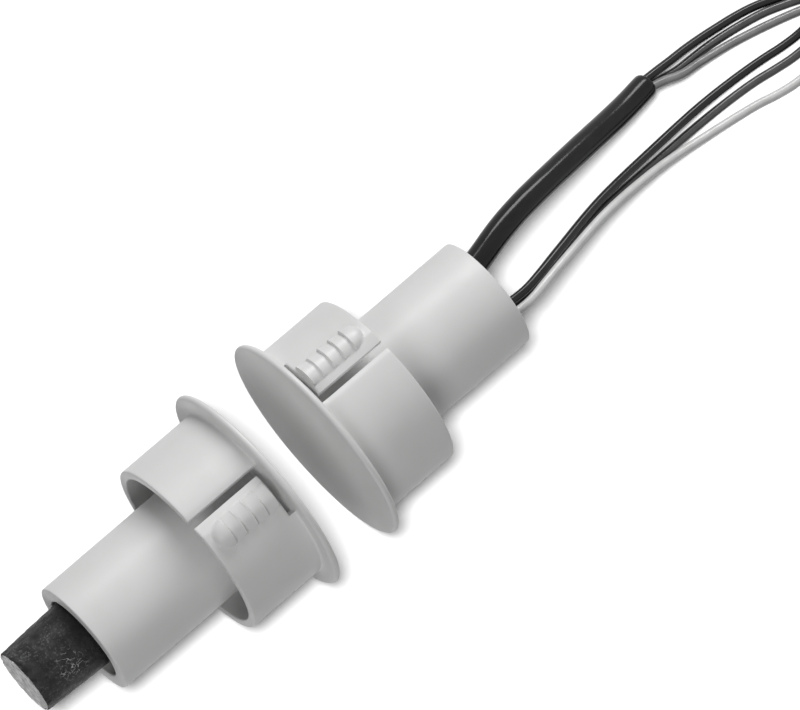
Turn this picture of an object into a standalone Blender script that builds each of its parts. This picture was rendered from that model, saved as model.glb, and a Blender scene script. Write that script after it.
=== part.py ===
"""Recessed magnetic contact for a steel door frame: a wired switch half and a magnet half.

The origin is on the common axis, in the plane of the switch flange's back, which seats on the frame.
+X runs into the hole along the switch tube, the magnet half lies towards -X, and +Z is up.
The leads come down from the switch to the plane that the flange rims touch.
"""
import math

import bmesh
import bpy
from mathutils import Matrix, Vector

MM = 0.001

# Moulding, the same for both halves
FLANGE_RADIUS = 15.2 * MM
FLANGE_THICKNESS = 0.9 * MM
FLANGE_DOME = 0.4 * MM
FLANGE_EDGE_RADIUS = 0.4 * MM
FLANGE_BACK_CHAMFER = 0.15 * MM
WEB_THICKNESS = 1.2 * MM
FRONT_WALL = 2.0 * MM
COLLAR_RADIUS = 12.7 * MM
COLLAR_WALL = 1.3 * MM
COLLAR_LENGTH = 11.4 * MM
TUBE_RADIUS = 8.0 * MM
TUBE_LENGTH = 28.7 * MM
TUBE_BORE_RADIUS = 5.95 * MM
EDGE_CHAMFER = 0.2 * MM
FLANGE_GAP = 9.1 * MM

# Spring fingers, cut from the collar by an L-shaped slot
FINGER_COUNT = 2
FINGER_START = math.radians(1.7)
FINGER_SPAN = math.radians(30.0)
SLOT_WIDTH = 1.05 * MM
SLOT_RELIEF = 0.05 * MM
FINGER_PROUD = 0.35 * MM
BARB_COUNT = 5
BARB_PITCH = 1.68 * MM
BARB_HEIGHT = 0.55 * MM
BARB_SINK = 0.2 * MM
BARB_RUN = 4.3 * MM
BARB_END_STRIP = 0.8 * MM
BARB_REAR_STRIP = 1.0 * MM
BARB_FILL = 0.94
# A barb's height along its run, each as (share of the run, share of the height)
BARB_SHAPE = [(0.0, 0.0), (0.06, 0.62), (0.14, 0.9), (0.27, 1.0), (0.5, 0.86), (0.75, 0.5), (1.0, 0.0)]
SWITCH_ROLL = math.radians(0.9)
MAGNET_ROLL = math.radians(4.3)

# Magnet rod and its adhesive
MAGNET_RADIUS = 4.75 * MM
MAGNET_LENGTH = 36.5 * MM
MAGNET_OFFSET = 0.55 * MM
MAGNET_EDGE = 0.15 * MM
ADHESIVE_CLEARANCE = 0.2 * MM
ADHESIVE_DEPTH = 3.0 * MM

# Reed capsules, blades and solder joints
CLEARANCE = 0.3 * MM
REED_OFFSET = 2.8 * MM
GLASS_RADIUS = 1.3 * MM
GLASS_WALL = 0.25 * MM
GLASS_NECK_RADIUS = 0.95 * MM
GLASS_MOUTH_RADIUS = 0.75 * MM
GLASS_NECK_LENGTH = 0.8 * MM
GLASS_FRONT_ROOM = 2.5 * MM
GLASS_REAR_ROOM = 2.5 * MM
WIRE_RADIUS = 0.22 * MM
WIRE_LOOP = 1.3 * MM
BLADE_SPACING = 0.4 * MM
BLADE_OVERLAP = 1.0 * MM
BLADE_FLATTEN = 0.4
BLADE_WIDEN = 2.0
BLADE_STEP_IN = 0.1 * MM
BLADE_STEP_OUT = 0.3 * MM
TAIL_GAP = 0.2 * MM
TAIL_STRAIGHT = 0.4 * MM
JOINT_RADIUS = 0.4 * MM
JOINT_LENGTH = 1.4 * MM

# Potting, sleeve and leads
POTTING_LENGTH = 6.6 * MM
POTTING_DEPTH = 0.8 * MM
LEAD_DIAMETER = 1.2 * MM
SLEEVE_DIAMETER = 3.5 * MM
CABLE_HOLE_CLEARANCE = 0.15 * MM
CABLE_DEPTH = 7.6 * MM
CORD_SPACING = 2.5
CONDUCTOR_RADIUS = 0.3 * MM
CONDUCTOR_LENGTH = 4.0 * MM

# Coil of the leads' unseen length, in mm where it is a place
COIL_CENTRE = (102.0, -15.0)
COIL_START_RADIUS = 18.0 * MM
COIL_TURNS = 2.3
COIL_TAIL_TURNS = 0.4
COIL_TAIL_PULL = 32.75 * MM
COIL_PITCH = 3.9 * MM
LEAD_PITCH = 1.3 * MM
LAYER_PITCH = 1.35 * MM
COIL_HOLE_RADIUS = 5.0 * MM
COIL_SLACK = 0.1 * MM
TAIL_STEPS = 60
TIE_THICKNESS = 0.4 * MM
TIE_WIDTH = 2.5 * MM
TIE_ANGLE = math.radians(45.0)
TIE_HEAD_LENGTH = 3.6 * MM
TIE_HEAD_HEIGHT = 1.8 * MM

ROUND_STEPS = 72
SMALL_ROUND_STEPS = 24
DOME_STEPS = 4
ARC_STEPS = 3

# Derived places
BACK_TO_BACK = FLANGE_GAP + 2.0 * FLANGE_THICKNESS
FLOOR_HEIGHT = -FLANGE_RADIUS
BORE_END = FRONT_WALL - FLANGE_THICKNESS
COLLAR_BORE_RADIUS = COLLAR_RADIUS - COLLAR_WALL
MAGNET_START = BORE_END + CLEARANCE
POTTING_REAR = TUBE_LENGTH - POTTING_DEPTH
POTTING_FRONT = POTTING_REAR - POTTING_LENGTH
CABLE_START = POTTING_REAR - CABLE_DEPTH
JOINT_REAR = CABLE_START - CLEARANCE
JOINT_FRONT = JOINT_REAR - JOINT_LENGTH
GLASS_FRONT = BORE_END + GLASS_FRONT_ROOM
GLASS_REAR = JOINT_FRONT - GLASS_REAR_ROOM
COIL_LOW = FLOOR_HEIGHT + TIE_THICKNESS + CLEARANCE
LOWER_LAYER = COIL_LOW + 0.5 * LEAD_DIAMETER
UPPER_LAYER = LOWER_LAYER + LAYER_PITCH
COIL_HIGH = UPPER_LAYER + 0.5 * LEAD_DIAMETER
COIL_OUTER = COIL_START_RADIUS + LEAD_PITCH + 0.5 * LEAD_DIAMETER + COIL_SLACK

# Where the leads and the sleeve leave the potting, across the tube as (y, z) in mm
BARE_LEAD_EXITS = {"black": (-2.9, 0.3), "grey": (-3.7, -1.2), "white": (-4.5, 0.3)}
SLEEVE_EXIT = (3.45, 0.9)
SLEEVED_JOINT_PLACES = {"black": (2.63, 1.37), "dark_grey": (3.45, -0.05), "grey": (4.27, 1.37)}

# Routes from the potting to the coil, chosen by hand, in mm
SLEEVE_ROUTE = [
    (31.0, 3.85, 0.9), (34.8, 4.8, 0.8), (38.7, 5.6, 0.2), (43.6, 6.4, -1.3),
    (51.9, 7.7, -4.8), (60.3, 9.0, -8.6), (65.9, 10.0, -10.5),
]
BARE_LEAD_ROUTES = {
    "black": [
        (31.5, -3.1, 0.3), (35.0, -2.65, 0.0), (40.2, -1.3, -1.8), (49.5, 1.05, -5.6), (60.4, 2.75, -10.0),
        (70.2, 3.75, -12.9), (78.7, 3.65, -14.2), (85.9, 2.9, -14.4), (91.0, 3.2, -13.5), (95.5, 3.9, -12.8),
        (102.0, 4.3, -12.55),
    ],
    "grey": [
        (31.5, -3.65, -1.2), (35.0, -3.0, -1.5), (40.4, -1.6, -3.3), (49.7, 0.4, -7.2), (60.3, 1.65, -11.6),
        (69.0, 2.3, -14.1), (77.0, 2.0, -14.6), (84.2, 1.0, -14.6), (90.0, 1.2, -13.9), (95.5, 2.4, -12.8),
        (102.0, 3.0, -12.55),
    ],
    "white": [
        (31.5, -4.6, 0.3), (35.0, -4.0, 0.0), (40.0, -2.75, -1.9), (49.3, -0.65, -6.0), (59.0, 0.5, -10.5),
        (67.0, 0.4, -13.4), (75.2, -0.5, -14.6), (81.5, -1.8, -14.6), (88.0, -1.5, -14.2), (95.5, 0.9, -12.8),
        (102.0, 1.7, -12.55),
    ],
}
SLEEVED_LEAD_ROUTES = {
    "black": [
        (66.5, 10.6, -10.3), (69.2, 10.6, -11.1), (72.7, 10.8, -12.2), (76.9, 10.8, -13.5),
        (83.9, 10.0, -14.6), (89.0, 8.2, -14.6), (95.5, 5.4, -14.2), (102.0, 4.3, -13.9),
    ],
    "dark_grey": [
        (66.5, 10.0, -11.5), (69.6, 9.5, -12.5), (73.8, 9.6, -13.8), (78.1, 9.5, -14.5),
        (84.6, 8.4, -14.6), (89.5, 6.7, -14.6), (95.5, 4.0, -14.2), (102.0, 3.0, -13.9),
    ],
    "grey": [
        (66.5, 9.35, -10.3), (70.0, 8.4, -11.5), (75.0, 8.2, -13.2), (80.3, 7.6, -14.4),
        (86.3, 6.1, -14.6), (90.5, 4.7, -14.6), (95.5, 2.6, -14.2), (102.0, 1.7, -13.9),
    ],
}
# Each lead's place across the coil's ribbon, from the outer side to the inner side
BARE_LEAD_ROWS = {"black": 1, "grey": 0, "white": -1}
SLEEVED_LEAD_ROWS = {"black": 1, "dark_grey": 0, "grey": -1}


def clear_scene():
    for old in list(bpy.data.objects):
        bpy.data.objects.remove(old, do_unlink=True)


def new_collection(name):
    collection = bpy.data.collections.new(name)
    bpy.context.scene.collection.children.link(collection)
    return collection


def plain_material(name, colour, roughness, metallic=0.0):
    material = bpy.data.materials.new(name)
    material.use_nodes = True
    shader = material.node_tree.nodes["Principled BSDF"]
    shader.inputs["Base Color"].default_value = (*colour, 1.0)
    shader.inputs["Roughness"].default_value = roughness
    shader.inputs["Metallic"].default_value = metallic
    material.diffuse_color = (*colour, 1.0)
    return material


def add_object(name, data, collection, material=None, parent=None):
    piece = bpy.data.objects.new(name, data)
    collection.objects.link(piece)
    if parent is not None:
        piece.parent = parent
    if material is not None and not data.materials:
        data.materials.append(material)
    return piece


def as_cutter(piece):
    piece.hide_render = True
    piece.display_type = 'WIRE'
    return piece


def shade(piece, angle=40.0):
    piece.data.shade_smooth()
    piece.data.set_sharp_from_angle(angle=math.radians(angle))


def turned(name, profile, closed, steps, collection, material=None, parent=None):
    """A profile of (radius, height) pairs turned about the local Z axis."""
    mesh = bpy.data.meshes.new(name)
    points = [(radius, 0.0, height) for radius, height in profile]
    edges = [(i, i + 1) for i in range(len(points) - 1)]
    if closed:
        edges.append((len(points) - 1, 0))
    mesh.from_pydata(points, edges, [])
    piece = add_object(name, mesh, collection, material, parent)
    screw = piece.modifiers.new("turn", 'SCREW')
    screw.axis = 'Z'
    screw.angle = math.tau
    screw.steps = steps
    screw.render_steps = steps
    screw.use_merge_vertices = True
    screw.merge_threshold = 0.00001
    screw.use_smooth_shade = True
    return piece


def flat_outline(name, loops, thickness, collection):
    """Flat outlines in the local XY plane, with their thickness centred on it."""
    curve = bpy.data.curves.new(name, 'CURVE')
    curve.dimensions = '2D'
    curve.fill_mode = 'BOTH'
    curve.extrude = 0.5 * thickness
    for loop in loops:
        spline = curve.splines.new('POLY')
        spline.points.add(len(loop) - 1)
        for point, (x, y) in zip(spline.points, loop):
            point.co = (x, y, 0.0, 1.0)
        spline.use_cyclic_u = True
    return add_object(name, curve, collection)


def tube_along(name, points, radius, collection, material=None, resolution=2):
    """A round tube with closed ends along a list of points."""
    curve = bpy.data.curves.new(name, 'CURVE')
    curve.dimensions = '3D'
    curve.bevel_depth = radius
    curve.bevel_resolution = resolution
    curve.use_fill_caps = True
    spline = curve.splines.new('POLY')
    spline.points.add(len(points) - 1)
    for point, place in zip(spline.points, points):
        point.co = (*place, 1.0)
    return add_object(name, curve, collection, material)


def as_mesh(piece):
    """Swaps a curve or modified object for one with its evaluated, welded mesh."""
    graph = bpy.context.evaluated_depsgraph_get()
    mesh = bpy.data.meshes.new_from_object(piece.evaluated_get(graph))
    work = bmesh.new()
    work.from_mesh(mesh)
    bmesh.ops.remove_doubles(work, verts=work.verts, dist=0.000001)
    bmesh.ops.recalc_face_normals(work, faces=work.faces)
    work.to_mesh(mesh)
    work.free()
    name = piece.name
    collection = piece.users_collection[0]
    place = piece.matrix_world.copy()
    bpy.data.objects.remove(piece, do_unlink=True)
    swapped = bpy.data.objects.new(name, mesh)
    swapped.matrix_world = place
    collection.objects.link(swapped)
    return swapped


def block(name, size, place, turn, collection):
    """A box of a given size, centred at a place and then turned about Z."""
    work = bmesh.new()
    bmesh.ops.create_cube(work, size=1.0)
    bmesh.ops.scale(work, vec=Vector(size), verts=work.verts)
    bmesh.ops.translate(work, vec=Vector(place), verts=work.verts)
    bmesh.ops.rotate(work, cent=(0, 0, 0), matrix=Matrix.Rotation(turn, 3, 'Z'), verts=work.verts)
    mesh = bpy.data.meshes.new(name)
    work.to_mesh(mesh)
    work.free()
    return add_object(name, mesh, collection)


def cylinder(name, radius, low, high, steps, collection, material=None, parent=None, across=(0.0, 0.0)):
    """A cylinder along the local Z axis between two heights."""
    work = bmesh.new()
    bmesh.ops.create_cone(
        work, cap_ends=True, segments=steps, radius1=radius, radius2=radius, depth=high - low)
    bmesh.ops.translate(work, vec=(across[0], across[1], 0.5 * (low + high)), verts=work.verts)
    mesh = bpy.data.meshes.new(name)
    work.to_mesh(mesh)
    work.free()
    return add_object(name, mesh, collection, material, parent)


def lofts(name, solids, collection):
    """Separate solids, each through sections that are closed loops of the same number of points."""
    work = bmesh.new()
    for sections in solids:
        rings = [[work.verts.new(point) for point in section] for section in sections]
        count = len(rings[0])
        for near, far in zip(rings, rings[1:]):
            for i in range(count):
                j = (i + 1) % count
                work.faces.new((near[i], near[j], far[j], far[i]))
        work.faces.new(rings[0])
        work.faces.new(rings[-1])
    bmesh.ops.triangulate(work, faces=work.faces)
    bmesh.ops.recalc_face_normals(work, faces=work.faces)
    mesh = bpy.data.meshes.new(name)
    work.to_mesh(mesh)
    work.free()
    return add_object(name, mesh, collection)


def boolean(piece, cutter, operation, solver='EXACT'):
    modifier = piece.modifiers.new(cutter.name, 'BOOLEAN')
    modifier.operation = operation
    modifier.solver = solver
    modifier.object = cutter


def arc(centre, radius, start, end, steps):
    """Points of an arc in a plane, both ends included."""
    angles = [start + (end - start) * i / steps for i in range(steps + 1)]
    return [(centre[0] + radius * math.cos(a), centre[1] + radius * math.sin(a)) for a in angles]


def moulding_profile():
    """Half section of the moulding: flange front up, tube down, from the axis round to the bore."""
    rim_inner = FLANGE_RADIUS - FLANGE_EDGE_RADIUS
    dome = []
    for i in range(DOME_STEPS + 1):
        share = i / DOME_STEPS
        dome.append((rim_inner * share, FLANGE_THICKNESS + FLANGE_DOME * (1.0 - share * share)))
    edge_centre = (rim_inner, FLANGE_THICKNESS - FLANGE_EDGE_RADIUS)
    rim = arc(edge_centre, FLANGE_EDGE_RADIUS, 0.5 * math.pi, 0.0, ARC_STEPS)[1:]
    back = [(FLANGE_RADIUS, FLANGE_BACK_CHAMFER), (FLANGE_RADIUS - FLANGE_BACK_CHAMFER, 0.0)]
    gap_floor = FLANGE_THICKNESS - WEB_THICKNESS
    collar = [
        (COLLAR_RADIUS, 0.0),
        (COLLAR_RADIUS, EDGE_CHAMFER - COLLAR_LENGTH),
        (COLLAR_RADIUS - EDGE_CHAMFER, -COLLAR_LENGTH),
        (COLLAR_BORE_RADIUS + EDGE_CHAMFER, -COLLAR_LENGTH),
        (COLLAR_BORE_RADIUS, EDGE_CHAMFER - COLLAR_LENGTH),
        (COLLAR_BORE_RADIUS, gap_floor),
    ]
    tube = [
        (TUBE_RADIUS, gap_floor),
        (TUBE_RADIUS, EDGE_CHAMFER - TUBE_LENGTH),
        (TUBE_RADIUS - EDGE_CHAMFER, -TUBE_LENGTH),
        (TUBE_BORE_RADIUS + EDGE_CHAMFER, -TUBE_LENGTH),
        (TUBE_BORE_RADIUS, EDGE_CHAMFER - TUBE_LENGTH),
        (TUBE_BORE_RADIUS, -BORE_END),
        (0.0, -BORE_END),
    ]
    return dome + rim + back + collar + tube


def proud_at(along):
    """How far a sprung finger stands out, at an angle from its free edge."""
    share = min(1.0, max(0.0, 1.0 - along / FINGER_SPAN))
    return FINGER_PROUD * share ** 1.5


def barb_section(angle, radius, height, depth):
    """One barb's cross-section: steep on the flange's side, ramped towards the rear."""
    root = radius - 0.5 * COLLAR_WALL
    foot = depth + BARB_FILL * BARB_PITCH
    outline = [(root, depth), (radius + height, depth), (radius - BARB_SINK, foot), (root, foot)]
    return [(r * math.cos(angle), r * math.sin(angle), -d) for r, d in outline]


def barb(start, index):
    """Sections of one barb: it rounds up beside the free edge's strip and fades out along the collar."""
    depth = COLLAR_LENGTH - BARB_REAR_STRIP - (BARB_COUNT - index) * BARB_PITCH
    first = BARB_END_STRIP / COLLAR_RADIUS
    run = BARB_RUN / COLLAR_RADIUS
    sections = []
    for share, rise in BARB_SHAPE:
        along = first + run * share
        height = BARB_HEIGHT * rise if rise > 0.0 else -0.5 * BARB_SINK
        sections.append(barb_section(start + along, COLLAR_RADIUS + proud_at(along), height, depth))
    return sections


def moulding_mesh(cutters):
    """The moulding's mesh: turned, slotted, its fingers sprung outward, and barbed."""
    form = turned("moulding", moulding_profile(), False, ROUND_STEPS, cutters)
    slot_inner = 0.5 * (TUBE_RADIUS + COLLAR_BORE_RADIUS)
    slot_outer = COLLAR_RADIUS + 0.5 * (FLANGE_RADIUS - COLLAR_RADIUS)
    slot_angle = SLOT_WIDTH / COLLAR_RADIUS
    starts = [FINGER_START + math.tau * i / FINGER_COUNT for i in range(FINGER_COUNT)]
    for i, start in enumerate(starts):
        leg_length = COLLAR_LENGTH + 2.0 * SLOT_WIDTH
        axial = block(
            f"axial_slot_{i}",
            (slot_outer - slot_inner, SLOT_WIDTH, leg_length + SLOT_RELIEF),
            (0.5 * (slot_inner + slot_outer), -0.5 * SLOT_WIDTH, 0.5 * (SLOT_RELIEF - leg_length)),
            start, cutters)
        boolean(form, as_cutter(axial), 'DIFFERENCE')
        outer_arc = arc((0, 0), slot_outer, start - 0.5 * slot_angle, start + FINGER_SPAN, 6)
        inner_arc = arc((0, 0), slot_inner, start + FINGER_SPAN, start - 0.5 * slot_angle, 6)
        leg = as_mesh(flat_outline(
            f"round_slot_{i}", [outer_arc + inner_arc], SLOT_WIDTH + SLOT_RELIEF, cutters))
        leg.location.z = 0.5 * (SLOT_RELIEF - SLOT_WIDTH)
        boolean(form, as_cutter(leg), 'DIFFERENCE')
    form = as_mesh(form)
    spring_fingers(form.data, starts)
    solids = [barb(start, i) for start in starts for i in range(BARB_COUNT)]
    boolean(form, as_cutter(lofts("barbs", solids, cutters)), 'UNION', 'MANIFOLD')
    mesh = as_mesh(form).data
    mesh.shade_smooth()
    mesh.set_sharp_from_angle(angle=math.radians(35.0))
    bpy.data.objects.remove(bpy.data.objects["moulding"], do_unlink=True)
    return mesh


def spring_fingers(mesh, starts):
    """Each finger bends outward from its hinged end to its free edge."""
    margin = math.radians(1.0)
    for vertex in mesh.vertices:
        radius = math.hypot(vertex.co.x, vertex.co.y)
        if radius < 0.5 * (TUBE_RADIUS + COLLAR_BORE_RADIUS) or vertex.co.z > -0.9 * SLOT_WIDTH:
            continue
        angle = math.atan2(vertex.co.y, vertex.co.x)
        for start in starts:
            along = (angle - start + margin) % math.tau - margin
            if along < FINGER_SPAN:
                scale = (radius + proud_at(along)) / radius
                vertex.co.x *= scale
                vertex.co.y *= scale


def axis_empty(name, x, turn, collection):
    """A parent whose local Z points at the other half along the common axis."""
    empty = bpy.data.objects.new(name, None)
    empty.location = (x, 0.0, 0.0)
    empty.rotation_euler = (0.0, turn, 0.0)
    collection.objects.link(empty)
    return empty


def smooth_path(points, steps=12):
    """Fine points on a Catmull-Rom curve through the given points."""
    knots = [Vector(p) for p in points]
    knots = [2.0 * knots[0] - knots[1]] + knots + [2.0 * knots[-1] - knots[-2]]
    fine = []
    for a, b, c, d in zip(knots, knots[1:], knots[2:], knots[3:]):
        for i in range(steps):
            t = i / steps
            bend = (2.0 * a - 5.0 * b + 4.0 * c - d) * t * t
            twist = (3.0 * b - a - 3.0 * c + d) * t * t * t
            fine.append(0.5 * (2.0 * b + (c - a) * t + bend + twist))
    fine.append(knots[-2])
    return fine


def even_points(path, spacing):
    """Points at an even spacing along a path, both ends kept."""
    lengths = [0.0]
    for near, far in zip(path, path[1:]):
        lengths.append(lengths[-1] + (far - near).length)
    count = max(2, round(lengths[-1] / spacing) + 1)
    points = []
    j = 0
    for i in range(count):
        target = lengths[-1] * i / (count - 1)
        while j < len(path) - 2 and lengths[j + 1] < target:
            j += 1
        share = (target - lengths[j]) / (lengths[j + 1] - lengths[j])
        points.append(path[j].lerp(path[j + 1], min(1.0, share)))
    return points


def cord_route(lead_in, route):
    return [Vector(p) for p in lead_in] + [Vector(p) * MM for p in route]


def up_to_coil(path):
    """The part of a path that ends face to face with the coil's solid."""
    centre = Vector(COIL_CENTRE) * MM
    stand_off = COIL_OUTER + 0.5 * LEAD_DIAMETER + CLEARANCE
    kept = []
    for point in path:
        if (point.xy - centre).length < stand_off:
            break
        kept.append(point)
    return kept


def coil_place(turns):
    """The ribbon's centre line in the coil, turning clockwise and inward from its top."""
    tail = max(0.0, turns - COIL_TURNS)
    radius = COIL_START_RADIUS - COIL_PITCH * turns - COIL_TAIL_PULL * tail * tail
    angle = 0.5 * math.pi - math.tau * turns
    return Vector(COIL_CENTRE) * MM + radius * Vector((math.cos(angle), math.sin(angle)))


def coil_point(turns, row, height):
    """A lead's place in the coil, offset across the ribbon by its row."""
    centre = coil_place(turns)
    ahead = (centre - coil_place(turns - 0.01)).normalized()
    side = Vector((-ahead.y, ahead.x))
    place = centre + side * row * LEAD_PITCH
    return Vector((place.x, place.y, height))


def tail_path(row, height):
    """The end of a lead that leaves the coil's ring for its middle, face to face with the ring."""
    centre = Vector(COIL_CENTRE) * MM
    stand_off = COIL_HOLE_RADIUS - 0.5 * LEAD_DIAMETER - CLEARANCE
    turns = [COIL_TURNS + COIL_TAIL_TURNS * i / TAIL_STEPS for i in range(TAIL_STEPS + 1)]
    path = [coil_point(t, row, height) for t in turns]
    return [point for point in path if (point.xy - centre).length < stand_off]


def build_housings(parts, cutters, switch_axis, magnet_axis, white):
    mesh = moulding_mesh(cutters)
    switch = add_object("switch_housing", mesh, parts, white, switch_axis)
    switch.rotation_euler.z = SWITCH_ROLL
    magnet = add_object("magnet_housing", mesh, parts, white, magnet_axis)
    magnet.rotation_euler.z = MAGNET_ROLL


def build_magnet(parts, cutters, magnet_axis):
    cast = plain_material("cast_magnet", (0.045, 0.045, 0.048), 0.6, 0.6)
    rod = cylinder(
        "magnet_rod", MAGNET_RADIUS, -(MAGNET_START + MAGNET_LENGTH), -MAGNET_START, 40, parts, cast,
        magnet_axis, (0.0, MAGNET_OFFSET))
    edge = rod.modifiers.new("edge", 'BEVEL')
    edge.width = MAGNET_EDGE
    edge.segments = 1
    edge.limit_method = 'ANGLE'
    edge.angle_limit = math.radians(60.0)
    shade(rod)
    glue = plain_material("clear_adhesive", (0.55, 0.52, 0.45), 0.35)
    ring = cylinder(
        "magnet_adhesive", TUBE_BORE_RADIUS - ADHESIVE_CLEARANCE, ADHESIVE_DEPTH - TUBE_LENGTH,
        -MAGNET_START, 40, parts, glue, magnet_axis)
    hole = cylinder(
        "adhesive_hole", MAGNET_RADIUS + ADHESIVE_CLEARANCE, -TUBE_LENGTH - ADHESIVE_DEPTH,
        FLANGE_THICKNESS, 40, cutters, None, magnet_axis, (0.0, MAGNET_OFFSET))
    boolean(ring, as_cutter(hole), 'DIFFERENCE')
    shade(ring)


def build_potting(parts, cutters, switch_axis):
    resin = plain_material("potting_resin", (0.05, 0.05, 0.055), 0.4)
    potting = cylinder(
        "potting", TUBE_BORE_RADIUS - CLEARANCE, -POTTING_REAR, -POTTING_FRONT, 48, parts, resin, switch_axis)
    holes = {f"lead_hole_{n}": (place, LEAD_DIAMETER) for n, place in BARE_LEAD_EXITS.items()}
    holes["sleeve_hole"] = (SLEEVE_EXIT, SLEEVE_DIAMETER)
    for name, ((y, z), diameter) in holes.items():
        hole = cylinder(
            name, 0.5 * diameter + CABLE_HOLE_CLEARANCE, -TUBE_LENGTH - POTTING_DEPTH, -CABLE_START,
            16, cutters, None, switch_axis, (z * MM, y * MM))
        boolean(potting, as_cutter(hole), 'DIFFERENCE')
    shade(potting)


def glass_profile():
    """Closed half section of a capsule's wall, with a narrowed mouth at each end."""
    inner = GLASS_RADIUS - GLASS_WALL
    front = -GLASS_FRONT
    rear = -GLASS_REAR
    neck = GLASS_NECK_LENGTH
    return [
        (GLASS_MOUTH_RADIUS, front), (GLASS_NECK_RADIUS, front),
        (GLASS_RADIUS, front - neck), (GLASS_RADIUS, rear + neck),
        (GLASS_NECK_RADIUS, rear), (GLASS_MOUTH_RADIUS, rear),
        (inner, rear + neck), (inner, front - neck),
    ]


def stamp_flat(piece, y, z):
    """Flattens the stretch of wire that lies inside the capsule into a blade."""
    reach = GLASS_RADIUS
    for vertex in piece.data.vertices:
        near = math.hypot(vertex.co.y - y, vertex.co.z - z) < reach
        inside = GLASS_FRONT + 1.5 * GLASS_NECK_LENGTH < vertex.co.x < GLASS_REAR - 1.5 * GLASS_NECK_LENGTH
        if near and inside:
            vertex.co.z = z + (vertex.co.z - z) * BLADE_FLATTEN
            vertex.co.y = y + (vertex.co.y - y) * BLADE_WIDEN


def blade(name, points, y, z, parts, steel):
    piece = as_mesh(tube_along(name, points, WIRE_RADIUS, parts, None, 1))
    stamp_flat(piece, y, z)
    piece.data.materials.append(steel)
    shade(piece)


def build_reed(letter, side, joints, parts, switch_axis, glass, steel):
    """One change-over reed: joints gives the places of its common, open and closed tails."""
    y = side * REED_OFFSET
    capsule = turned(
        f"reed_{letter}_glass", glass_profile(), True, SMALL_ROUND_STEPS, parts, glass, switch_axis)
    capsule.location.y = y
    middle = 0.5 * (GLASS_FRONT + GLASS_REAR)
    neck = 1.5 * GLASS_NECK_LENGTH
    tail_end = JOINT_FRONT - TAIL_GAP
    tail_start = GLASS_REAR + TAIL_STRAIGHT
    lift = GLASS_RADIUS + CLEARANCE + 1.15 * WIRE_RADIUS
    front = GLASS_FRONT - WIRE_LOOP
    common_y, common_z = joints[0]
    mouth = GLASS_FRONT - TAIL_GAP
    common = [
        (middle + BLADE_OVERLAP, y, 0.0), (middle, y, 0.0),
        (GLASS_FRONT + neck + BLADE_STEP_IN, y, 0.0), (GLASS_FRONT + neck - BLADE_STEP_OUT, y, 0.0),
        (mouth, y, 0.0), (front, y, 0.25 * lift), (front, y, 0.75 * lift), (mouth, y, lift),
        (GLASS_REAR, y, lift), (tail_start, y, lift),
        (tail_end - TAIL_STRAIGHT, common_y, common_z), (tail_end, common_y, common_z),
    ]
    blade(f"reed_{letter}_common_blade", common, y, 0.0, parts, steel)
    for kind, level, (joint_y, joint_z) in (("open", 1, joints[1]), ("closed", -1, joints[2])):
        z = level * BLADE_SPACING
        contact = [
            (middle - BLADE_OVERLAP, y, z), (middle, y, z), (GLASS_REAR - neck - BLADE_STEP_IN, y, z),
            (GLASS_REAR - neck + BLADE_STEP_OUT, y, z), (tail_start, y, z),
            (tail_end - TAIL_STRAIGHT, joint_y, joint_z), (tail_end, joint_y, joint_z),
        ]
        blade(f"reed_{letter}_{kind}_blade", contact, y, z, parts, steel)


def build_joints(places, prefix, parts, switch_axis, solder):
    for name, (y, z) in places.items():
        shoulder = 0.25 * JOINT_LENGTH
        profile = [
            (0.0, -JOINT_FRONT), (0.6 * JOINT_RADIUS, -JOINT_FRONT), (JOINT_RADIUS, -JOINT_FRONT - shoulder),
            (JOINT_RADIUS, shoulder - JOINT_REAR), (0.6 * JOINT_RADIUS, -JOINT_REAR), (0.0, -JOINT_REAR),
        ]
        joint = turned(f"{prefix}_{name}", profile, False, 10, parts, solder, switch_axis)
        joint.location = (z * MM, y * MM, 0.0)


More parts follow.
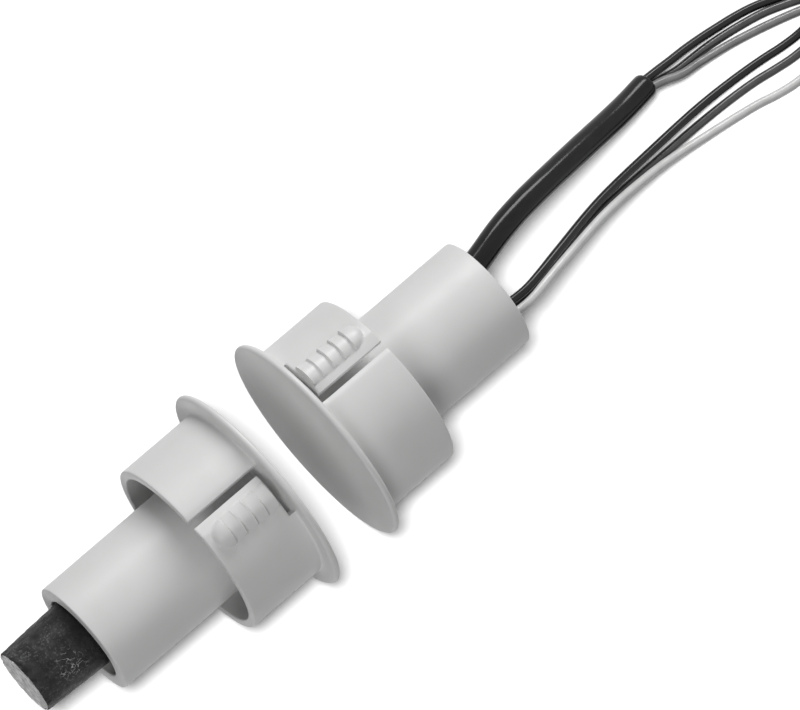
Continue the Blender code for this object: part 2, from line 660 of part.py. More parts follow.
def build_cords(parts):
    colours = {
        "black": plain_material("insulation_black", (0.02, 0.02, 0.022), 0.4),
        "dark_grey": plain_material("insulation_dark_grey", (0.09, 0.09, 0.095), 0.4),
        "grey": plain_material("insulation_grey", (0.2, 0.2, 0.205), 0.4),
        "white": plain_material("insulation_white", (0.75, 0.75, 0.74), 0.4),
    }
    tinned = plain_material("tinned_copper", (0.6, 0.6, 0.6), 0.35, 1.0)
    sleeve_black = plain_material("sleeve_black", (0.015, 0.015, 0.016), 0.35)
    sleeve_in = [
        (x, SLEEVE_EXIT[0] * MM, SLEEVE_EXIT[1] * MM)
        for x in (CABLE_START, 0.5 * (CABLE_START + TUBE_LENGTH), TUBE_LENGTH)]
    sleeve = smooth_path(cord_route(sleeve_in, SLEEVE_ROUTE))
    tube_along(
        "lead_sleeve", even_points(sleeve, CORD_SPACING * SLEEVE_DIAMETER), 0.5 * SLEEVE_DIAMETER, parts,
        sleeve_black, 3)
    spacing = CORD_SPACING * LEAD_DIAMETER
    for name, route in BARE_LEAD_ROUTES.items():
        y, z = BARE_LEAD_EXITS[name]
        lead_in = [
            (x, y * MM, z * MM) for x in (CABLE_START, 0.5 * (CABLE_START + TUBE_LENGTH), TUBE_LENGTH)]
        path = up_to_coil(smooth_path(cord_route(lead_in, route)))
        tube_along(f"bare_lead_{name}", even_points(path, spacing), 0.5 * LEAD_DIAMETER, parts, colours[name])
    for name, route in SLEEVED_LEAD_ROUTES.items():
        path = up_to_coil(smooth_path(cord_route([], route)))
        tube_along(
            f"sleeved_lead_{name}", even_points(path, spacing), 0.5 * LEAD_DIAMETER, parts, colours[name])
    for prefix, rows, height in (
            ("bare", BARE_LEAD_ROWS, UPPER_LAYER), ("sleeved", SLEEVED_LEAD_ROWS, LOWER_LAYER)):
        for name, row in rows.items():
            tail = tail_path(row, height)
            tube_along(
                f"{prefix}_tail_{name}", even_points(tail, 0.5 * spacing), 0.5 * LEAD_DIAMETER, parts,
                colours[name])
            ahead = (tail[-1] - tail[-2]).normalized()
            start = tail[-1] + ahead * CLEARANCE
            tube_along(
                f"{prefix}_conductor_{name}", [start, start + ahead * CONDUCTOR_LENGTH], CONDUCTOR_RADIUS,
                parts, tinned)


def build_coil(parts):
    wound = plain_material("wound_leads", (0.12, 0.12, 0.122), 0.45)
    edge = 0.4 * LEAD_DIAMETER
    section = [
        (COIL_HOLE_RADIUS, COIL_HIGH - edge), (COIL_HOLE_RADIUS + edge, COIL_HIGH),
        (COIL_OUTER - edge, COIL_HIGH), (COIL_OUTER, COIL_HIGH - edge),
        (COIL_OUTER, COIL_LOW + edge), (COIL_OUTER - edge, COIL_LOW),
        (COIL_HOLE_RADIUS + edge, COIL_LOW), (COIL_HOLE_RADIUS, COIL_LOW + edge),
    ]
    coil = turned("lead_coil", section, True, 48, parts, wound)
    coil.location = (COIL_CENTRE[0] * MM, COIL_CENTRE[1] * MM, 0.0)
    nylon = plain_material("tie_nylon", (0.03, 0.03, 0.032), 0.4)
    inner_low, inner_high = COIL_LOW - CLEARANCE, COIL_HIGH + CLEARANCE
    near, far = COIL_HOLE_RADIUS - CLEARANCE, COIL_OUTER + CLEARANCE
    band = TIE_THICKNESS
    head = 0.5 * (near + far)
    inner_loop = [(near, inner_low), (near, inner_high), (far, inner_high), (far, inner_low)]
    outer_loop = [
        (near - band, inner_low - band), (far + band, inner_low - band), (far + band, inner_high + band),
        (head + 0.5 * TIE_HEAD_LENGTH, inner_high + band),
        (head + 0.4 * TIE_HEAD_LENGTH, inner_high + TIE_HEAD_HEIGHT),
        (head - 0.4 * TIE_HEAD_LENGTH, inner_high + TIE_HEAD_HEIGHT),
        (head - 0.5 * TIE_HEAD_LENGTH, inner_high + band),
        (near - band, inner_high + band),
    ]
    tie = flat_outline("coil_tie", [outer_loop, inner_loop], TIE_WIDTH, parts)
    tie.location = (COIL_CENTRE[0] * MM, COIL_CENTRE[1] * MM, 0.0)
    tie.rotation_euler = (0.5 * math.pi, 0.0, TIE_ANGLE)
    bpy.context.view_layer.update()
    tie = as_mesh(tie)
    tie.data.materials.append(nylon)


def main():
    clear_scene()
    parts = new_collection("recessed_magnetic_contact")
    cutters = new_collection("cutters")
    switch_axis = axis_empty("switch_axis", 0.0, -0.5 * math.pi, parts)
    magnet_axis = axis_empty("magnet_axis", -BACK_TO_BACK, 0.5 * math.pi, parts)
    white = plain_material("white_moulding", (0.78, 0.78, 0.77), 0.45)
    glass = plain_material("reed_glass", (0.55, 0.68, 0.6), 0.1)
    steel = plain_material("reed_alloy", (0.55, 0.55, 0.56), 0.3, 1.0)
    solder = plain_material("solder", (0.6, 0.6, 0.61), 0.35, 1.0)
    build_housings(parts, cutters, switch_axis, magnet_axis, white)
    build_magnet(parts, cutters, magnet_axis)
    build_potting(parts, cutters, switch_axis)
    bare = BARE_LEAD_EXITS
    sleeved = SLEEVED_JOINT_PLACES
    for letter, side, places in (
            ("a", -1, (bare["black"], bare["white"], bare["grey"])),
            ("b", 1, (sleeved["black"], sleeved["grey"], sleeved["dark_grey"]))):
        joints = [(y * MM, z * MM) for y, z in places]
        build_reed(letter, side, joints, parts, switch_axis, glass, steel)
    build_joints(bare, "bare_lead_joint", parts, switch_axis, solder)
    build_joints(sleeved, "sleeved_lead_joint", parts, switch_axis, solder)
    build_cords(parts)
    build_coil(parts)


main()
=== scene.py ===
"""Looks of the recessed magnetic contact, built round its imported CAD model."""
import math

import bmesh
import bpy
from mathutils import Matrix, Vector, noise


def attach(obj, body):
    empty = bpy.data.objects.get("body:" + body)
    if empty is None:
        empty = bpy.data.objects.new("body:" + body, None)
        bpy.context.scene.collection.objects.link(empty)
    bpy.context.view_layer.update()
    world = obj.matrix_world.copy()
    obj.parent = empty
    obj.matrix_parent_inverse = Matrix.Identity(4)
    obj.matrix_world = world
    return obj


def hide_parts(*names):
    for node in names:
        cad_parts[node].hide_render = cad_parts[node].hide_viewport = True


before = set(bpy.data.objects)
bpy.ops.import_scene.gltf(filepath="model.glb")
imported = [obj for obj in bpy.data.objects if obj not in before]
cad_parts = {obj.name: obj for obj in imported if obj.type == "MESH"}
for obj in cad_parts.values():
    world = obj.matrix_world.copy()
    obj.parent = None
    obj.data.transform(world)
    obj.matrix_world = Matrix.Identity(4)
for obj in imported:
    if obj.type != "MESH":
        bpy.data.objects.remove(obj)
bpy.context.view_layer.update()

MM = 0.001
BODY = "root"
# Edges sharper than this many degrees stay sharp, with a value each for the rod and for sleeve and potting
SHARP_ANGLE = 40.0
ROD_SHARP_ANGLE = 50.0
SOFT_SHARP_ANGLE = 60.0

# Camera at the photo's viewing angle, its place in metres, its lens and sensor in mm
CAMERA_AZIMUTH = math.radians(-42.305)
CAMERA_ELEVATION = math.radians(70.39)
CAMERA_PLACE = (-0.19700, -0.23158, 0.88352)
CAMERA_LENS = 334.08
SENSOR_WIDTH = 36.0

# Moulding, in mm. The CAD source has the same sizes, but no fillets, and a smaller back edge and rolls.
FLANGE_RADIUS = 15.2
FLANGE_THICKNESS = 0.9
FLANGE_DOME = 0.4
FLANGE_EDGE_RADIUS = 0.4
FLANGE_BACK_RADIUS = 0.45
FRONT_WALL = 2.0
GAP_FLOOR = 0.3
FILLET = 0.25
COLLAR_RADIUS = 12.7
COLLAR_BORE = 11.4
COLLAR_LENGTH = 11.4
TUBE_RADIUS = 8.0
TUBE_BORE = 5.95
TUBE_LENGTH = 28.7
EDGE_RADIUS = 0.2
BACK_TO_BACK = 10.9
SWITCH_ROLL = math.radians(2.8)
MAGNET_ROLL = math.radians(6.6)
TOLERANCE = 0.001

# Steps of the moulding's round edges
RIM_STEPS = 6
FILLET_STEPS = 3
EDGE_STEPS = 4
TUBE_EDGE_STEPS = 5

# Spring fingers, in mm. A place along the collar counts from a finger's free edge.
FINGER_COUNT = 2
FINGER_START = math.radians(1.7)
FINGER_SPAN = math.radians(30.0)
FINGER_REACH = FINGER_SPAN * COLLAR_RADIUS
SLOT_WIDTH = 1.25
CROSS_WIDTH = 1.0
FINGER_PROUD = 0.35
FINGER_PROUD_POWER = 1.5
FINGER_EDGE = 1.6
FINGER_EDGE_DROP = 0.6
COLLAR_EDGE = 1.0
COLLAR_EDGE_DROP = 0.24
CROSS_EDGE = 0.25
CROSS_EDGE_DROP = 0.12
# Barbs, in mm. Fall is a share of the height, face and tip are in pitches, and square and soft are the
# powers that round a barb's outline at its crest and its foot.
BARB_COUNT = 5
BARB_PITCH = 1.77
BARB_HEIGHT = 1.0
BARB_RUN = 3.85
BARB_START = 1.0
BARB_FALL = 0.38
BARB_TIP = 1.25
BARB_REAR_STRIP = 1.35
BARB_SQUARE = 0.52
BARB_FACE = 0.07
BARB_SOFT = 1.45
FIRST_BARB = COLLAR_LENGTH - BARB_REAR_STRIP - BARB_COUNT * BARB_PITCH

# Columns of the moulding's mesh, in mm along the collar: a finger's edge, its root and hinge, then the
# slot and the collar's edge behind it. The barbs' columns are shares of their run.
EDGE_COLUMNS = (0.0, 0.06, 0.14, 0.24, 0.36, 0.5, 0.65)
BARB_COLUMNS = (
    0.0, 0.012, 0.03, 0.06, 0.1, 0.15, 0.22, 0.3, 0.4, 0.5,
    0.6, 0.7, 0.78, 0.85, 0.9, 0.94, 0.97, 0.988, 1.0)
ROOT_COLUMNS = (5.2, 5.6, 6.0, 6.4)
HINGE_COLUMNS = (0.0, 0.08, 0.25, 0.6)
SLOT_COLUMNS = (0.4, 0.8)
BEHIND_COLUMNS = (0.0, 0.06, 0.14, 0.25, 0.4, 0.57, 0.77, 1.0)
COLUMN_STEP = math.radians(2.2)
# A turn in radians past a column, to tell whether slot or wall follows it
COLUMN_NUDGE = 0.001

# Rows of the moulding's mesh, in mm: behind the flange, before the collar's rear end, and down its bore.
# The barbs' rows are shares of their pitch.
FRONT_ROWS = (0.45, 0.7, 0.9, CROSS_WIDTH, 1.1)
BARB_ROWS = (-0.01, 0.07, 0.12, 0.2, 0.35, 0.5, 0.65, 0.8, 0.92)
REAR_ROWS = (1.35, 1.22, 1.1, 0.98, 0.9, 0.7, 0.45)
BORE_ROWS = (9.0, 6.0, 3.0, CROSS_WIDTH, 0.6, GAP_FLOOR)
TUBE_START = 1.0
TUBE_ROWS = 8
DOME_ROWS = 12

# Magnet rod, in mm
MAGNET_RADIUS = 4.95
MAGNET_END_RADIUS = 4.6
MAGNET_MOUTH = -BACK_TO_BACK - TUBE_LENGTH
MAGNET_FRONT = -12.3
MAGNET_REAR = -48.8
MAGNET_OFFSET = 0.7
MAGNET_EDGE = 0.15
MAGNET_EDGE_STEP = 0.04
HIDDEN_ROWS = (MAGNET_FRONT, -20.0, -30.0)
MAGNET_HIDDEN = -38.5
MAGNET_COLUMNS = 144
MAGNET_ROW = 0.16
MAGNET_END_RINGS = 16
# The bore's shade, painted darker into the rod's colour, fades out between these distances from its mouth
MOUTH_SHADE_NEAR = 1.0
MOUTH_SHADE_FAR = 2.4
MOUTH_SHADE = 0.8
MARK_PLACE = (-43.5, -2.4, 3.6)
MARK_RADIUS = 2.6
MARK_CORE = 0.4

# Rough casting, chips, nicks and wear at the rod's end: lengths in mm, noise scales per mm
CAST_DEPTH = 0.055
CAST_PROUD = 0.03
CAST_SCALE = 1.1
CAST_FRACTAL = (0.8, 2.0, 4)
CHIP_REACH = 1.3
CHIP_SCALE = 1.35
CHIP_PLACE = (7.0, 3.0, 1.0)
CHIP_FLOOR = 0.12
CHIP_DEPTH = 0.75
CHIP_SLANT = 0.55
NICK_SCALE = 3.1
NICK_FLOOR = 0.2
NICK_DEPTH = 0.5
END_WEAR = 0.02
END_WEAR_SCALES = (1.6, 4.0)

# Adhesive and potting, in mm
ADHESIVE_DEPTH = 3.0
ADHESIVE_COLUMNS = 96
ADHESIVE_STEPS = 8
ADHESIVE_CLIMB = 0.45
ADHESIVE_RIPPLE = 0.12
ADHESIVE_RIPPLE_SCALE = 3.0
POTTING_REAR = 27.9
POTTING_FRONT = 21.3
POTTING_COLUMNS = 120
POTTING_RINGS = 40
POTTING_WALL_CLIMB = 0.35
POTTING_LEAD_CLIMB = 0.3
POTTING_RIPPLE = 0.05
POTTING_RIPPLE_SCALE = 0.6

# Leads, in mm
LEAD_DIAMETER = 1.2
SLEEVE_DIAMETER = 3.5
SLEEVE_WALL = 0.3
SLEEVE_LEAD_SPREAD = 0.75
SLEEVE_SPACING = 0.8
SLEEVE_COLUMNS = 40
SLEEVE_WAVE = 0.012
SLEEVE_WAVE_SCALE = 0.35
LIP_TURNS = (0.0, 25.0, 50.0, 75.0, 100.0, 140.0, 180.0)
LIP_LENGTH = 0.25
LIP_PULL = 0.1
LEAD_SPACING = 3.0
PATH_STEPS = 12
# A sleeved lead's route joins the sleeve's line at one of its last points, smoothed from an earlier one
SLEEVE_JOIN = 7
SLEEVE_APPROACH = 18
CABLE_START = 20.3
BARE_LEAD_EXITS = {"black": (-2.9, 0.3), "grey": (-3.7, -1.2), "white": (-4.5, 0.3)}
SLEEVE_EXIT = (3.45, 0.9)
SLEEVE_ROUTE = [
    (31.0, 3.85, 0.9), (34.8, 4.8, 0.8), (38.7, 5.6, 0.2), (43.6, 6.4, -1.3),
    (51.9, 7.7, -4.8), (60.3, 9.0, -8.6), (65.9, 10.0, -10.5),
]
BARE_LEAD_ROUTES = {
    "black": [
        (31.5, -3.1, 0.3), (35.0, -2.65, 0.0), (40.2, -1.3, -1.8), (49.5, 1.05, -5.6),
        (60.4, 2.75, -10.0), (70.2, 3.75, -12.9), (78.7, 3.65, -14.2), (85.9, 2.9, -14.4),
        (91.0, 3.2, -13.5), (95.5, 3.9, -12.8), (102.0, 4.3, -12.55),
    ],
    "grey": [
        (31.5, -3.65, -1.2), (35.0, -3.0, -1.5), (40.4, -1.6, -3.3), (49.7, 0.4, -7.2),
        (60.3, 1.65, -11.6), (69.0, 2.3, -14.1), (77.0, 2.0, -14.6), (84.2, 1.0, -14.6),
        (90.0, 1.2, -13.9), (95.5, 2.4, -12.8), (102.0, 3.0, -12.55),
    ],
    "white": [
        (31.5, -4.6, 0.3), (35.0, -4.0, 0.0), (40.0, -2.75, -1.9), (49.3, -0.65, -6.0),
        (59.0, 0.5, -10.5), (67.0, 0.4, -13.4), (75.2, -0.5, -14.6), (81.5, -1.8, -14.6),
        (88.0, -1.5, -14.2), (95.5, 0.9, -12.8), (102.0, 1.7, -12.55),
    ],
}
SLEEVED_LEAD_ROUTES = {
    "black": [
        (66.5, 10.6, -10.3), (69.2, 10.6, -11.1), (72.7, 10.8, -12.2), (76.9, 10.8, -13.5),
        (83.9, 10.0, -14.6), (89.0, 8.2, -14.6), (95.5, 5.4, -14.2), (102.0, 4.3, -13.9),
    ],
    "dark_grey": [
        (66.5, 10.0, -11.5), (69.6, 9.5, -12.5), (73.8, 9.6, -13.8), (78.1, 9.5, -14.5),
        (84.6, 8.4, -14.6), (89.5, 6.7, -14.6), (95.5, 4.0, -14.2), (102.0, 3.0, -13.9),
    ],
    "grey": [
        (66.5, 9.35, -10.3), (70.0, 8.4, -11.5), (75.0, 8.2, -13.2), (80.3, 7.6, -14.4),
        (86.3, 6.1, -14.6), (90.5, 4.7, -14.6), (95.5, 2.6, -14.2), (102.0, 1.7, -13.9),
    ],
}
BARE_LEAD_ROWS = {"black": 1, "grey": 0, "white": -1}
SLEEVED_LEAD_ROWS = {"black": 1, "dark_grey": 0, "grey": -1}
# Places of the sleeved leads round the sleeve's middle, as angles from straight up
SLEEVED_LEAD_TURNS = {
    "black": math.radians(60.0), "dark_grey": math.radians(180.0), "grey": math.radians(-60.0)}

# Coil of the leads' unseen length, in mm
COIL_CENTRE = (102.0, -15.0)
COIL_START_RADIUS = 18.0
COIL_TURNS = 2.3
COIL_TAIL_TURNS = 0.4
COIL_TAIL_PULL = 32.75
COIL_PITCH = 3.9
COIL_STEPS = 24
COIL_NUDGE = 0.01
LEAD_PITCH = 1.3
LOWER_LAYER = -13.9
UPPER_LAYER = -12.55
STRAND_COUNT = 7
STRAND_RADIUS = 0.1
STRAND_TWIST = 0.8
STRAND_STEPS = 12
STRAND_SPREAD = 0.25
STRAND_STAGGER = 0.02
CONDUCTOR_LENGTH = 4.0

# Tie round the coil, in mm
TIE_ANGLE = math.radians(45.0)
TIE_NEAR = 7.2
TIE_FAR = 20.1
TIE_LOW = -14.75
TIE_HIGH = -11.7
TIE_BAND = 0.4
TIE_WIDTH = 2.5
TIE_EDGE = 0.08
TIE_CORNER = 0.9
TIE_CORNER_STEPS = 6
TIE_HEAD = (3.6, 3.3, 1.9)
TIE_HEAD_LIFT = 0.05
TIE_HEAD_BEVEL = 0.25
TIE_TAIL = 4.0
TIE_TAIL_WIDTH = 2.4
TIE_TAIL_LIFT = 1.05
TIE_TAIL_TUCK = 0.3
TIE_CAP = (1.8, 2.64, 0.3)
TIE_CAP_LIFT = 0.1
TIE_CAP_BEVEL = 0.1
TIE_BEVEL_STEPS = 3

# Insulation: dark and light colour, roughness and gloss
INSULATIONS = {
    "black": ((0.008, 0.008, 0.009), (0.014, 0.014, 0.015), 0.15, 0.3),
    "dark_grey": ((0.06, 0.06, 0.061), (0.09, 0.09, 0.092), 0.16, 0.45),
    "grey": ((0.19, 0.19, 0.193), (0.28, 0.28, 0.282), 0.16, 0.5),
    "white": ((0.66, 0.66, 0.655), (0.78, 0.78, 0.775), 0.18, 0.5),
}
# Most of a noise texture's values lie between these
NOISE_LOW = 0.3
NOISE_HIGH = 0.7

# Floor and lamps: the floor's height in mm, all other sizes and places in metres, powers in watts
FLOOR_HEIGHT = -FLANGE_RADIUS
FLOOR_SIZE = 4.0
FLOOR_SEEN = 1.05
FLOOR_MIRRORED = 0.8
FLOOR_BOUNCE = 0.06
WORLD_LIGHT = 0.2
KEY_POWER = 9.55
KEY_SIZE = (1.0, 0.35)
KEY_PLACE = (0.63, 0.65, 0.715)
FILL_POWER = 3.4
FILL_SIZE = (0.6, 0.6)
FILL_PLACE = (-0.66, -0.55, 0.68)
# The lamp over the floor lights the floor alone, and the other two leave it out
OVERHEAD_POWER = 47.0
OVERHEAD_SIZE = (0.44, 0.44)
OVERHEAD_PLACE = (-0.466, -0.36, 2.0)


# Materials

def tree(owner):
    return owner.node_tree.nodes, owner.node_tree.links


def principled(material):
    return material.node_tree.nodes["Principled BSDF"]


def surface(name, colour, roughness, metallic=0.0, gloss=0.5):
    material = bpy.data.materials.new(name)
    material.use_nodes = True
    shader = principled(material)
    shader.inputs["Base Color"].default_value = (*colour, 1.0)
    shader.inputs["Roughness"].default_value = roughness
    shader.inputs["Metallic"].default_value = metallic
    shader.inputs["Specular IOR Level"].default_value = gloss
    return material


def own_space(material):
    return material.node_tree.nodes.new("ShaderNodeTexCoord").outputs["Object"]


def noise_factor(material, scale, detail=4.0, roughness=0.55, stretch=None):
    """A noise value in the piece's own space; scale counts features per metre."""
    nodes, links = tree(material)
    place = own_space(material)
    if stretch is not None:
        mapping = nodes.new("ShaderNodeMapping")
        mapping.inputs["Scale"].default_value = stretch
        links.new(place, mapping.inputs["Vector"])
        place = mapping.outputs["Vector"]
    texture = nodes.new("ShaderNodeTexNoise")
    texture.inputs["Scale"].default_value = scale
    texture.inputs["Detail"].default_value = detail
    texture.inputs["Roughness"].default_value = roughness
    links.new(place, texture.inputs["Vector"])
    return texture.outputs["Fac"]


def ranged(material, factor, from_low, from_high, to_low=0.0, to_high=1.0):
    nodes, links = tree(material)
    node = nodes.new("ShaderNodeMapRange")
    for socket, value in (
            ("From Min", from_low), ("From Max", from_high), ("To Min", to_low), ("To Max", to_high)):
        node.inputs[socket].default_value = value
    links.new(factor, node.inputs["Value"])
    return node.outputs["Result"]


def combined(material, operation, first, second):
    nodes, links = tree(material)
    node = nodes.new("ShaderNodeMath")
    node.operation = operation
    for socket, value in zip(node.inputs, (first, second)):
        if isinstance(value, float):
            socket.default_value = value
        else:
            links.new(value, socket)
    return node.outputs["Value"]


def mixed_colour(material, factor, low, high):
    """A colour between two others, each a colour or the output of an earlier mix."""
    nodes, links = tree(material)
    node = nodes.new("ShaderNodeMix")
    node.data_type = 'RGBA'
    links.new(factor, node.inputs["Factor"])
    for socket, value in ((node.inputs[6], low), (node.inputs[7], high)):
        if isinstance(value, tuple):
            socket.default_value = (*value, 1.0)
        else:
            links.new(value, socket)
    return node.outputs[2]


def set_colour(material, output):
    material.node_tree.links.new(output, principled(material).inputs["Base Color"])


def set_roughness(material, output):
    material.node_tree.links.new(output, principled(material).inputs["Roughness"])


def graded(material, factor, dark, light, smooth, rough):
    """Colour and roughness that both follow one noise, each between two values."""
    share = ranged(material, factor, NOISE_LOW, NOISE_HIGH)
    set_colour(material, mixed_colour(material, share, dark, light))
    set_roughness(material, ranged(material, factor, NOISE_LOW, NOISE_HIGH, smooth, rough))


def bump(material, height, distance, strength=1.0, below=None):
    """Adds bump in metres of height, on top of an earlier bump's output."""
    nodes, links = tree(material)
    node = nodes.new("ShaderNodeBump")
    node.inputs["Strength"].default_value = strength
    node.inputs["Distance"].default_value = distance
    links.new(height, node.inputs["Height"])
    if below is not None:
        links.new(below, node.inputs["Normal"])
    links.new(node.outputs["Normal"], principled(material).inputs["Normal"])
    return node.outputs["Normal"]


def white_plastic():
    material = surface("satin_white_plastic", (0.8, 0.8, 0.795), 0.42)
    principled(material).inputs["Subsurface Weight"].default_value = 0.06
    principled(material).inputs["Subsurface Radius"].default_value = (0.0012, 0.0011, 0.001)
    broad = noise_factor(material, 90.0, 3.0)
    set_colour(material, mixed_colour(
        material, ranged(material, broad, 0.35, 0.65), (0.775, 0.775, 0.77), (0.81, 0.81, 0.807)))
    fine = noise_factor(material, 420.0)
    set_roughness(material, ranged(material, fine, NOISE_LOW, NOISE_HIGH, 0.37, 0.48))
    soft = bump(material, noise_factor(material, 260.0, 2.0), 0.00002, 0.35)
    bump(material, noise_factor(material, 2600.0, 3.0), 0.000006, 0.5, soft)
    return material


def near_place(material, place, radius):
    """1 at a place in the piece's own space, falling to 0 at a radius, both in mm."""
    nodes, links = tree(material)
    node = nodes.new("ShaderNodeVectorMath")
    node.operation = 'DISTANCE'
    links.new(own_space(material), node.inputs[0])
    node.inputs[1].default_value = [x * MM for x in place]
    return ranged(material, node.outputs["Value"], MARK_CORE * radius * MM, radius * MM, 1.0, 0.0)


def cast_metal():
    """Dark, rough cast alloy with fine pale grains, one patch of curled marks, and painted shade darkening
    the rod next to the bore's mouth.
    """
    material = surface("cast_magnet_alloy", (0.02, 0.02, 0.021), 0.5, gloss=0.2)
    mottle = ranged(material, noise_factor(material, 700.0, 6.0, 0.7), 0.38, 0.7)
    base = mixed_colour(material, mottle, (0.008, 0.008, 0.009), (0.042, 0.042, 0.043))
    grains = ranged(material, noise_factor(material, 3200.0, 3.0, 0.6), 0.54, 0.7)
    cloud = ranged(material, noise_factor(material, 260.0, 2.0), 0.4, 0.62)
    base = mixed_colour(
        material, combined(material, 'MULTIPLY', grains, cloud), base, (0.17, 0.17, 0.172))
    nodes, links = tree(material)
    parts = nodes.new("ShaderNodeSeparateXYZ")
    links.new(own_space(material), parts.inputs[0])
    # Painted shade: the rod's colour darkens towards the bore's mouth, standing in for the shadow the bore
    # casts there
    painted_mouth_shade = ranged(
        material, parts.outputs["X"], (MAGNET_MOUTH - MOUTH_SHADE_FAR) * MM,
        (MAGNET_MOUTH - MOUTH_SHADE_NEAR) * MM, 0.0, MOUTH_SHADE)
    base = mixed_colour(material, painted_mouth_shade, base, (0.005, 0.005, 0.005))
    line = combined(material, 'SUBTRACT', noise_factor(material, 1100.0, 1.0), 0.5)
    curls = ranged(material, combined(material, 'ABSOLUTE', line, 0.0), 0.008, 0.03, 1.0, 0.0)
    broken = ranged(material, noise_factor(material, 1700.0, 2.0), 0.42, 0.56)
    marks = combined(material, 'MULTIPLY', curls, broken)
    marks = combined(material, 'MULTIPLY', marks, near_place(material, MARK_PLACE, MARK_RADIUS))
    set_colour(material, mixed_colour(material, marks, base, (0.46, 0.46, 0.46)))
    set_roughness(material, ranged(material, mottle, 0.0, 1.0, 0.58, 0.38))
    grain = bump(material, noise_factor(material, 1900.0, 6.0, 0.65), 0.00009, 0.8)
    bump(material, marks, 0.00005, 0.6, grain)
    return material


def ground_metal():
    """The magnet's end, ground flat, with stains and dark pits."""
    material = surface("ground_magnet_end", (0.5, 0.5, 0.5), 0.45, 0.2)
    stain = ranged(material, noise_factor(material, 900.0, 7.0, 0.65), 0.34, 0.62)
    streaks = noise_factor(material, 1400.0, 3.0, 0.5, (1.0, 0.12, 1.0))
    streaks = ranged(material, streaks, NOISE_LOW, NOISE_HIGH, 0.75, 1.0)
    blend = combined(material, 'MULTIPLY', stain, streaks)
    set_colour(material, mixed_colour(material, blend, (0.22, 0.22, 0.222), (0.72, 0.72, 0.715)))
    set_roughness(material, ranged(material, stain, 0.0, 1.0, 0.6, 0.4))
    bump(material, blend, 0.00005, 0.6)
    return material


def insulation(name, dark, light, roughness, gloss):
    """Extruded insulation with a faint grain."""
    material = surface(name, light, roughness, gloss=gloss)
    grain = noise_factor(material, 500.0, 4.0)
    graded(material, grain, dark, light, roughness - 0.05, roughness + 0.07)
    bump(material, noise_factor(material, 1300.0, 2.0), 0.00002, 0.4)
    return material


def sleeve_rubber():
    material = surface("glossy_black_sleeve", (0.012, 0.012, 0.013), 0.24, gloss=0.22)
    scuffs = noise_factor(material, 900.0, 6.0, 0.6, (0.25, 1.0, 1.0))
    set_colour(material, mixed_colour(
        material, ranged(material, scuffs, 0.35, 0.7), (0.005, 0.005, 0.006), (0.012, 0.012, 0.013)))
    set_roughness(material, ranged(material, scuffs, NOISE_LOW, NOISE_HIGH, 0.13, 0.2))
    bump(material, noise_factor(material, 700.0, 3.0), 0.00003, 0.5)
    return material


def resin():
    material = surface("dark_potting_resin", (0.03, 0.03, 0.032), 0.22, gloss=0.25)
    cloud = noise_factor(material, 500.0, 5.0)
    graded(material, cloud, (0.022, 0.022, 0.024), (0.05, 0.05, 0.052), 0.16, 0.34)
    bump(material, cloud, 0.00004, 0.5)
    return material


def glue():
    material = surface("cured_adhesive", (0.5, 0.46, 0.38), 0.3)
    cloud = noise_factor(material, 700.0, 4.0)
    graded(material, cloud, (0.42, 0.38, 0.3), (0.56, 0.53, 0.46), 0.22, 0.42)
    bump(material, cloud, 0.00006, 0.6)
    return material


def nylon():
    material = surface("black_nylon", (0.02, 0.02, 0.022), 0.42)
    grain = noise_factor(material, 1200.0, 4.0)
    graded(material, grain, (0.014, 0.014, 0.015), (0.032, 0.032, 0.034), 0.36, 0.5)
    bump(material, grain, 0.00002, 0.5)
    return material


def metal(name, dark, light, roughness):
    material = surface(name, light, roughness, 1.0)
    wear = noise_factor(material, 1500.0, 5.0)
    graded(material, wear, dark, light, roughness - 0.07, roughness + 0.1)
    bump(material, wear, 0.00001, 0.4)
    return material


def capsule_glass():
    material = surface("capsule_glass", (0.72, 0.84, 0.76), 0.04)
    principled(material).inputs["Transmission Weight"].default_value = 0.9
    principled(material).inputs["IOR"].default_value = 1.5
    tint = noise_factor(material, 300.0, 2.0)
    share = ranged(material, tint, NOISE_LOW, NOISE_HIGH)
    set_colour(material, mixed_colour(material, share, (0.68, 0.81, 0.72), (0.76, 0.87, 0.8)))
    bump(material, tint, 0.00001, 0.3)
    return material


# Mesh and curve helpers

def placed(name, data):
    thing = bpy.data.objects.new(name, data)
    bpy.context.scene.collection.objects.link(thing)
    return thing


def shown(name, data, materials, slot, *nodes):
    """A piece of the object that rides on its body and stands for CAD nodes."""
    piece = placed(name, data)
    for material in materials:
        if material.name not in data.materials:
            data.materials.append(material)
    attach(piece, BODY)
    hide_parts(*nodes)
    return piece


def smoothed(mesh, work, sharp_angle):
    """The mesh filled from the work, which is then freed, and smooth but for its sharp edges."""
    bmesh.ops.recalc_face_normals(work, faces=work.faces)
    work.to_mesh(mesh)
    work.free()
    mesh.shade_smooth()
    mesh.set_sharp_from_angle(angle=math.radians(sharp_angle))
    return mesh


def mesh_from(name, points, faces, sharp_angle=SHARP_ANGLE):
    mesh = bpy.data.meshes.new(name)
    mesh.from_pydata([tuple(p) for p in points], [], faces)
    work = bmesh.new()
    work.from_mesh(mesh)
    loose = [v for v in work.verts if not v.link_faces]
    bmesh.ops.delete(work, geom=loose, context='VERTS')
    return smoothed(mesh, work, sharp_angle)


def ring_faces(order, count):
    """Faces between rings of points, for ring numbers in the order in which they are joined."""
    faces = []
    for near, far in zip(order, order[1:]):
        for i in range(count):
            j = (i + 1) % count
            faces.append((near * count + i, near * count + j, far * count + j, far * count + i))
    return faces


def arc_points(centre, radius, start, end, steps):
    """Points of an arc in the (radius, depth) plane, both ends included, angles in degrees."""
    angles = [math.radians(start + (end - start) * i / steps) for i in range(steps + 1)]
    return [(centre[0] + radius * math.cos(a), centre[1] + radius * math.sin(a)) for a in angles]


